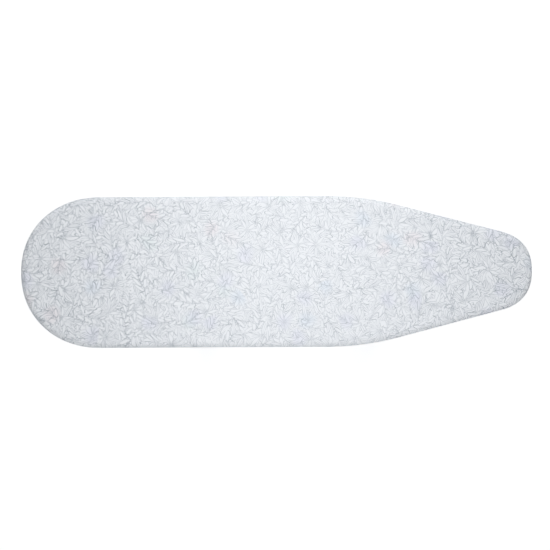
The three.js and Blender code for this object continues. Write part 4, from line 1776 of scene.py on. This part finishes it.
@dataclass
class Lock:
    """The carriage on the guide rods, its gripping plate and its springs."""

    rod_y: float = 0.02

    def mouldings(self) -> Piece:
        """The bosses round the carriage's bores, and the stiffening ribs on its faces.

        Returns:
            The piece.
        """
        low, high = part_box("slide_carriage")
        axle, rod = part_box("slide_axle"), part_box("guide_rod_left")
        axle_at, rod_z = (axle[0] + axle[1]) / 2, (rod[0].z + rod[1].z) / 2
        boss = in_mm([(7.3, -1.0), (7.3, 1.6), (9.6, 1.6), (10.2, 1.1), (10.5, -0.5)])
        collar = in_mm([(4.3, -1.0), (4.3, 1.3), (6.6, 1.3), (7.1, 0.9), (7.3, -0.5)])
        work = Work()
        for side in (-1, 1):
            work.lathe(boss, (axle_at.x, side * high.y, axle_at.z), (0, side, 0), 40)
            for x, way in ((low.x, -1), (high.x, 1)):
                work.lathe(collar, (x, side * self.rod_y, rod_z), (way, 0, 0), 32)
            for x in (low.x + 7 * MM, low.x + 12.5 * MM):
                path = [(x, side * high.y, low.z + 20.5 * MM), (x, side * high.y, high.z - 5 * MM)]
                work.sweep(path, 0.9 * MM, 10)
        for x in np.linspace(low.x + 6 * MM, high.x - 6 * MM, 5):
            work.sweep([(x, -high.y + 5 * MM, low.z), (x, high.y - 5 * MM, low.z)], 1.1 * MM, 10)
        for y in np.linspace(-high.y + 5 * MM, high.y - 5 * MM, 4):
            work.sweep([(low.x + 6 * MM, y, low.z), (high.x - 6 * MM, y, low.z)], 1.1 * MM, 10)
        return work.piece("carriage_bosses", NYLON, Body.CARRIAGE)

    def build(self) -> list[Piece]:
        """Makes the carriage, the plate and the springs.

        Returns:
            The pieces.
        """
        made = [
            eased("slide_carriage", NYLON, Body.CARRIAGE, 0.9 * MM),
            eased("lock_plate", ZINC, Body.LOCK, 0.35 * MM),
        ]
        made.append(self.mouldings())
        for word, side in SIDES:
            node = f"lock_spring_{word}"
            low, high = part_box(node)
            work = spring(low.x, high.x, side * self.rod_y, (low.z + high.z) / 2, 5.6 * MM, 0.7 * MM, 3)
            made.append(work.piece(f"grip_spring_{word}", ZINC, Body.CARRIAGE, [node]))
        return made


def arc(radius: float, start: float, stop: float, steps: int) -> list[Flat]:
    """Points of an arc round the origin, between two angles."""
    return [(radius * math.cos(a), radius * math.sin(a)) for a in np.linspace(start, stop, steps)]


@dataclass
class Release:
    """The bent-wire bail, its clips and spring, and the moulded grip under the board's edge."""

    pivot_y: float = -0.08
    bar_y: float = -0.036
    front_x: float = -0.126
    rear_x: float = -0.518
    bar_rear_x: float = -0.562
    grip_x: float = -0.4
    wire: float = 2.5 * MM
    bend: float = 7 * MM

    def __post_init__(self) -> None:
        """Takes the bail's height from its plain solid."""
        low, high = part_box("release_bail")
        self.z = (low.z + high.z) / 2
        self.hinge_z = self.z - 26 * MM

    def bail(self) -> Piece:
        """The bail: one wire bent round three corners, with its end welded to the bar.

        Returns:
            The piece.
        """
        corners = [
            (self.bar_rear_x, self.bar_y, self.z),
            (self.front_x, self.bar_y, self.z),
            (self.front_x, self.pivot_y, self.z),
            (self.rear_x, self.pivot_y, self.z),
            (self.rear_x, self.bar_y, self.z),
        ]
        work = Work().sweep(rounded_path(corners, self.bend, 10), self.wire, 20)
        end = [(self.wire, -0.2 * MM), *domed(self.wire, self.wire * 0.5, 6)]
        work.lathe(end, corners[0], (-1, 0, 0), 20)
        for side in (-1, 1):
            x, y = self.rear_x + side * (self.wire + 0.3 * MM), self.bar_y - 1.6 * MM
            bead = [(x, y, self.z + h * MM) for h in (-1.6, -0.6, 0.6, 1.6)]
            work.sweep(np.array(bead), [0.5 * MM, 1.3 * MM, 1.3 * MM, 0.5 * MM], 10)
        return work.piece("bail_wire", ZINC, Body.BAIL, ["release_bail"], 50)

    def slab(
        self, work: Work, section: Sequence[Point], half: float, round_off: float, grooves: float = 0.0
    ) -> None:
        """Adds a soft-edged bar along X with that section of y and z above the hinge, in millimetres.

        Args:
            work: the piece that it's added to.
            section: the corners of the section.
            half: half its length.
            round_off: how far its ends are rounded.
            grooves: how deep the finger grooves are along its far edge.
        """
        corners = np.array(section, float) * MM
        middle = corners.mean(0)
        loop = []
        for before, corner, after in zip(np.roll(corners, 1, 0), corners, np.roll(corners, -1, 0)):
            into, out = before - corner, after - corner
            bend = min(3.2 * MM, np.linalg.norm(into) * 0.45, np.linalg.norm(out) * 0.45)
            into, out = into / np.linalg.norm(into), out / np.linalg.norm(out)
            loop += [corner + bend * ((1 - t) ** 2 * into + t**2 * out) for t in (0, 0.33, 0.66, 1)]
        loop = np.array(loop)
        rings = []
        for u in np.linspace(-1, 1, 61):
            x = half * math.sin(u * math.pi / 2)
            near_end = max(0.0, (abs(x) - (half - round_off)) / round_off)
            shrink = (1 - math.sqrt(max(0.0, 1 - near_end**2))) * round_off
            ring = []
            for y, z in loop:
                away = np.array([y, z]) - middle
                size = np.linalg.norm(away)
                y2, z2 = middle + away * max(0.05, 1 - shrink / max(size, 1e-6))
                edge = np.clip((middle[0] - y - 6 * MM) / (14 * MM), 0, 1)
                wave = 0.5 + 0.5 * math.cos(FULL_TURN * x / (17 * MM))
                y2 += grooves * edge * wave * (abs(x) < half - 3 * MM)
                ring.append((self.grip_x + x, y2, self.hinge_z + z2))
            rings.append(ring)
        work.grid(np.array(rings), caps=True)

    def grip(self) -> Piece:
        """The grip: hub, neck and paddle, blended into one moulding.

        Returns:
            The piece.
        """
        work = Work()
        hub = [(-73.5, 20.5), (-73.5, 31), (-86, 31), (-90, 27), (-88, 16)]
        neck = [(-80, 30), (-87, 31), (-114, 20.8), (-126, 13), (-126, -2), (-117, -2)]
        neck += [(-115.5, 13), (-90, 15.5)]
        paddle = [(-116, -5), (-116, 8), (-128, 8), (-160, 2), (-168, -2), (-168, -6)]
        paddle += [(-162, -9), (-120, -6)]
        self.slab(work, hub, 15 * MM, 3 * MM)
        self.slab(work, neck, 15 * MM, 3 * MM)
        self.slab(work, paddle, 34 * MM, 9 * MM, 2.2 * MM)
        piece = work.piece("release_paddle", BLUE_PLASTIC, Body.BAIL, ["release_grip"], 180)
        remesh = piece.modifiers.new("moulding", "REMESH")
        remesh.mode, remesh.voxel_size, remesh.use_smooth_shade = "VOXEL", 1.0 * MM, True
        smooth = piece.modifiers.new("blend", "SMOOTH")
        smooth.factor, smooth.iterations = 0.6, 8
        set_modifiers(piece)
        piece.data.shade_smooth()
        return piece

    def clip(self, node: str, word: str) -> Piece:
        """One snap clip: a flat base under the panel, and a hook that is open below for the wire.

        Args:
            node: the plain solid that it stands for.
            word: its end in words.

        Returns:
            The clip.
        """
        low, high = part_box(node)
        x, half, up = (low.x + high.x) / 2, (high.x - low.x) / 2, high.z - self.z
        wide, outer, inner, gap = 8.0 * MM, 5.4 * MM, self.wire + 0.3 * MM, math.radians(34)
        base = [(-wide, up), (-wide, up - 3 * MM), (wide, up - 3 * MM), (wide, up)]
        far, near = 1.5 * math.pi - gap, gap - 0.5 * math.pi
        hook = [(-outer - 1 * MM, up - 2.5 * MM), (-outer, up - 4.5 * MM), *arc(outer, math.pi, far, 9)]
        hook += [*arc(inner, far, near, 25), *arc(outer, near, 0, 9)]
        hook += [(outer, up - 4.5 * MM), (outer + 1 * MM, up - 2.5 * MM)]
        work = Work()
        for outline, reach in ((base, half), (hook, half - 2.6 * MM)):
            flat = np.array(outline)
            rings = []
            for along, shrink in ((-1.0, 0.6), (-1.0, 0.0), (1.0, 0.0), (1.0, 0.6)):
                place = x + along * (reach - (0.6 * MM if not shrink else 0.0))
                middle = flat.mean(0)
                away = flat - middle
                size = np.linalg.norm(away, axis=1)[:, None]
                pulled = middle + away * (1 - np.minimum(shrink * MM / np.maximum(size, 1e-6), 0.5))
                y, z = self.pivot_y + pulled[:, 0], self.z + pulled[:, 1]
                rings.append(np.column_stack([np.full(len(flat), place), y, z]))
            work.grid(np.array(rings), caps=True)
        return work.piece(f"bail_hook_{word}", NYLON, Body.BOARD, [node], 40)

    def clips(self) -> list[Piece]:
        """The two clips, each held by two small screws.

        Returns:
            The pieces.
        """
        made = []
        for word in ("front", "rear"):
            node = f"bail_clip_{word}"
            made.append(self.clip(node, word))
            low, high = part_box(node)
            work = Work()
            for x in (low.x + 1.9 * MM, high.x - 1.9 * MM):
                rivet(work, (x, self.pivot_y, high.z - 3 * MM), (0, 0, -1), 1.7 * MM, 0.9 * MM)
            made.append(work.piece(f"clip_screws_{word}", ZINC, Body.BOARD))
        return made

    def build(self) -> list[Piece]:
        """Makes the bail, the grip, the clips and the return spring.

        Returns:
            The pieces.
        """
        low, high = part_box("bail_spring")
        coil = spring(low.x, high.x, self.pivot_y, self.z, 4.2 * MM, 0.8 * MM, 4)
        return [
            self.bail(),
            self.grip(),
            *self.clips(),
            coil.piece("return_spring", ZINC, Body.BOARD, ["bail_spring"]),
        ]


def set_modifiers(piece: Piece) -> None:
    """Turns a piece's modifiers into its mesh.

    Args:
        piece: the piece.
    """
    bpy.context.view_layer.update()
    seen = piece.evaluated_get(bpy.context.evaluated_depsgraph_get())
    mesh = bpy.data.meshes.new_from_object(seen)
    piece.modifiers.clear()
    piece.data = mesh


# ---------------------------------------------------------------- the studio


@dataclass
class Studio:
    """The pale floor, the soft light and the camera straight above the board.

    The floor glows less within its patch, an ellipse under the board with those half widths, as a painted
    shadow under the board. The camera stands a few millimetres aside of the middle.
    """

    glow: float = 0.54
    # shade: how far the painted shadow under the board lowers the floor's glow
    shade: float = 0.3
    sky: float = 0.25
    lens: float = 100.0
    height: float = 4.522
    roll: float = math.radians(-0.27)
    aside: Flat = (-0.00355, -0.0078)
    board: Triple = (0.0, 0.0, 0.91)
    patch: Flat = (0.7, 0.2)

    def surface(
        self, name: str, paint_name: str, grown: bmesh.types.BMesh, height: float
    ) -> tuple[Piece, bpy.types.Node]:
        """Stands a surface of the studio at a height, in a paint of its own.

        Args:
            name: its name.
            paint_name: its paint's name.
            grown: its mesh, which is used up.
            height: where its middle is.

        Returns:
            The surface and its paint's shader.
        """
        mesh = bpy.data.meshes.new(name)
        grown.to_mesh(mesh)
        grown.free()
        piece = bpy.data.objects.new(name, mesh)
        bpy.context.scene.collection.objects.link(piece)
        piece.location.z = height
        paint = bpy.data.materials.new(paint_name)
        paint.use_nodes = True
        mesh.materials.append(paint)
        return piece, paint.node_tree.nodes["Principled BSDF"]

    def floor(self) -> None:
        """A wide floor that glows faintly, so that it stays white round the board, but less below it as a
        painted shadow.
        """
        grown = bmesh.new()
        bmesh.ops.create_grid(grown, x_segments=4, y_segments=4, size=40)
        piece, shader = self.surface("floor", "pale_floor", grown, -0.0005)
        shader.inputs["Base Color"].default_value = (0.86, 0.87, 0.88, 1)
        shader.inputs["Roughness"].default_value = 0.85
        shader.inputs["Specular IOR Level"].default_value = 0.1
        shader.inputs["Emission Color"].default_value = (1, 1, 1, 1)
        tree = Tree(shader.id_data)
        # painted shadow: the floor's glow drops by shade inside an ellipse under the board
        x, y, _ = tree.split(tree.place())
        long, wide = self.patch
        away = tree.vector("LENGTH", tree.joined(x * (1 / long), y * (1 / wide)), output="Value")
        lit = tree.step(away, 0.2, 1.0) * self.shade + (self.glow - self.shade)
        tree.feed(shader.inputs["Emission Strength"], lit)

    def backdrop(self) -> None:
        """A far round wall, as pale as the far floor, that sends no light back."""
        grown = bmesh.new()
        bmesh.ops.create_cone(grown, segments=96, radius1=38, radius2=38, depth=60)
        piece, shader = self.surface("backdrop", "pale_wall", grown, 29.9)
        shader.inputs["Base Color"].default_value = (0, 0, 0, 1)
        shader.inputs["Specular IOR Level"].default_value = 0.0
        shader.inputs["Emission Color"].default_value = (0.751, 0.755, 0.76, 1)
        shader.inputs["Emission Strength"].default_value = 1.0
        piece.visible_diffuse = piece.visible_glossy = piece.visible_shadow = False

    def lamp(self, name: str, at: Point, size: float, power: float) -> None:
        """A square soft light that faces the board.

        Args:
            name: its name.
            at: where it is.
            size: its width.
            power: its power in watts.
        """
        light = bpy.data.lights.new(name, "AREA")
        light.shape, light.size, light.energy = "SQUARE", size, power
        lamp = bpy.data.objects.new(name, light)
        bpy.context.scene.collection.objects.link(lamp)
        lamp.location = at
        lamp.rotation_euler = (Vector(self.board) - Vector(at)).to_track_quat("-Z", "Y").to_euler()
        lamp.visible_camera = False

    def build(self) -> None:
        """Sets up floor, sky, lights and camera."""
        scene = bpy.context.scene
        scene.view_settings.view_transform = "Standard"
        self.floor()
        self.backdrop()
        world = bpy.data.worlds.new("studio_sky")
        world.use_nodes = True
        sky = world.node_tree.nodes["Background"]
        sky.inputs[0].default_value = (0.98, 0.99, 1.0, 1)
        sky.inputs[1].default_value = self.sky
        scene.world = world
        self.lamp("softbox", (0.0, 0.2, 4.3), size=2.6, power=15.0)
        self.lamp("overhead", (0.05, 0.05, 1.85), size=0.45, power=3.65)
        self.lamp("left_window", (0.1, 2.1, 2.2), size=1.2, power=27.0)
        self.lamp("right_window", (0.0, -2.1, 2.2), size=1.2, power=11.5)
        view = bpy.data.cameras.new("camera")
        view.lens, view.sensor_width, view.clip_end = self.lens, 36, 100
        camera = bpy.data.objects.new("camera", view)
        scene.collection.objects.link(camera)
        camera.location = (*self.aside, self.height)
        camera.rotation_euler = (0, 0, self.roll)
        scene.camera = camera


def main() -> None:
    """Builds the board and the studio, and reports each piece."""
    logging.basicConfig(level=logging.INFO, format="%(message)s", stream=sys.stdout)
    Studio().build()
    outer_top, inner_top = (0.245, 0, HINGE_Z), (SLIDE_X, 0, HINGE_Z)
    outer = Leg(
        "outer", Body.OUTER_LEG, outer_top, 1, leg_y=0.1, brace_down=0.885, bar_half=0.146, foot_y=0.166
    )
    inner = Leg(
        "inner", Body.INNER_LEG, inner_top, -1, leg_y=0.07, brace_down=0.7, bar_half=0.114, foot_y=0.134
    )
    parts = [SteelTop(), Fittings(), outer, inner, Crossing(), Lock(), Release(), SoftTop()]
    for part in parts:
        made = part.build()
        LOG.info("%s: %d pieces", type(part).__name__, len(made))
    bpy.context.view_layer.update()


if __name__ == "__main__":
    main()
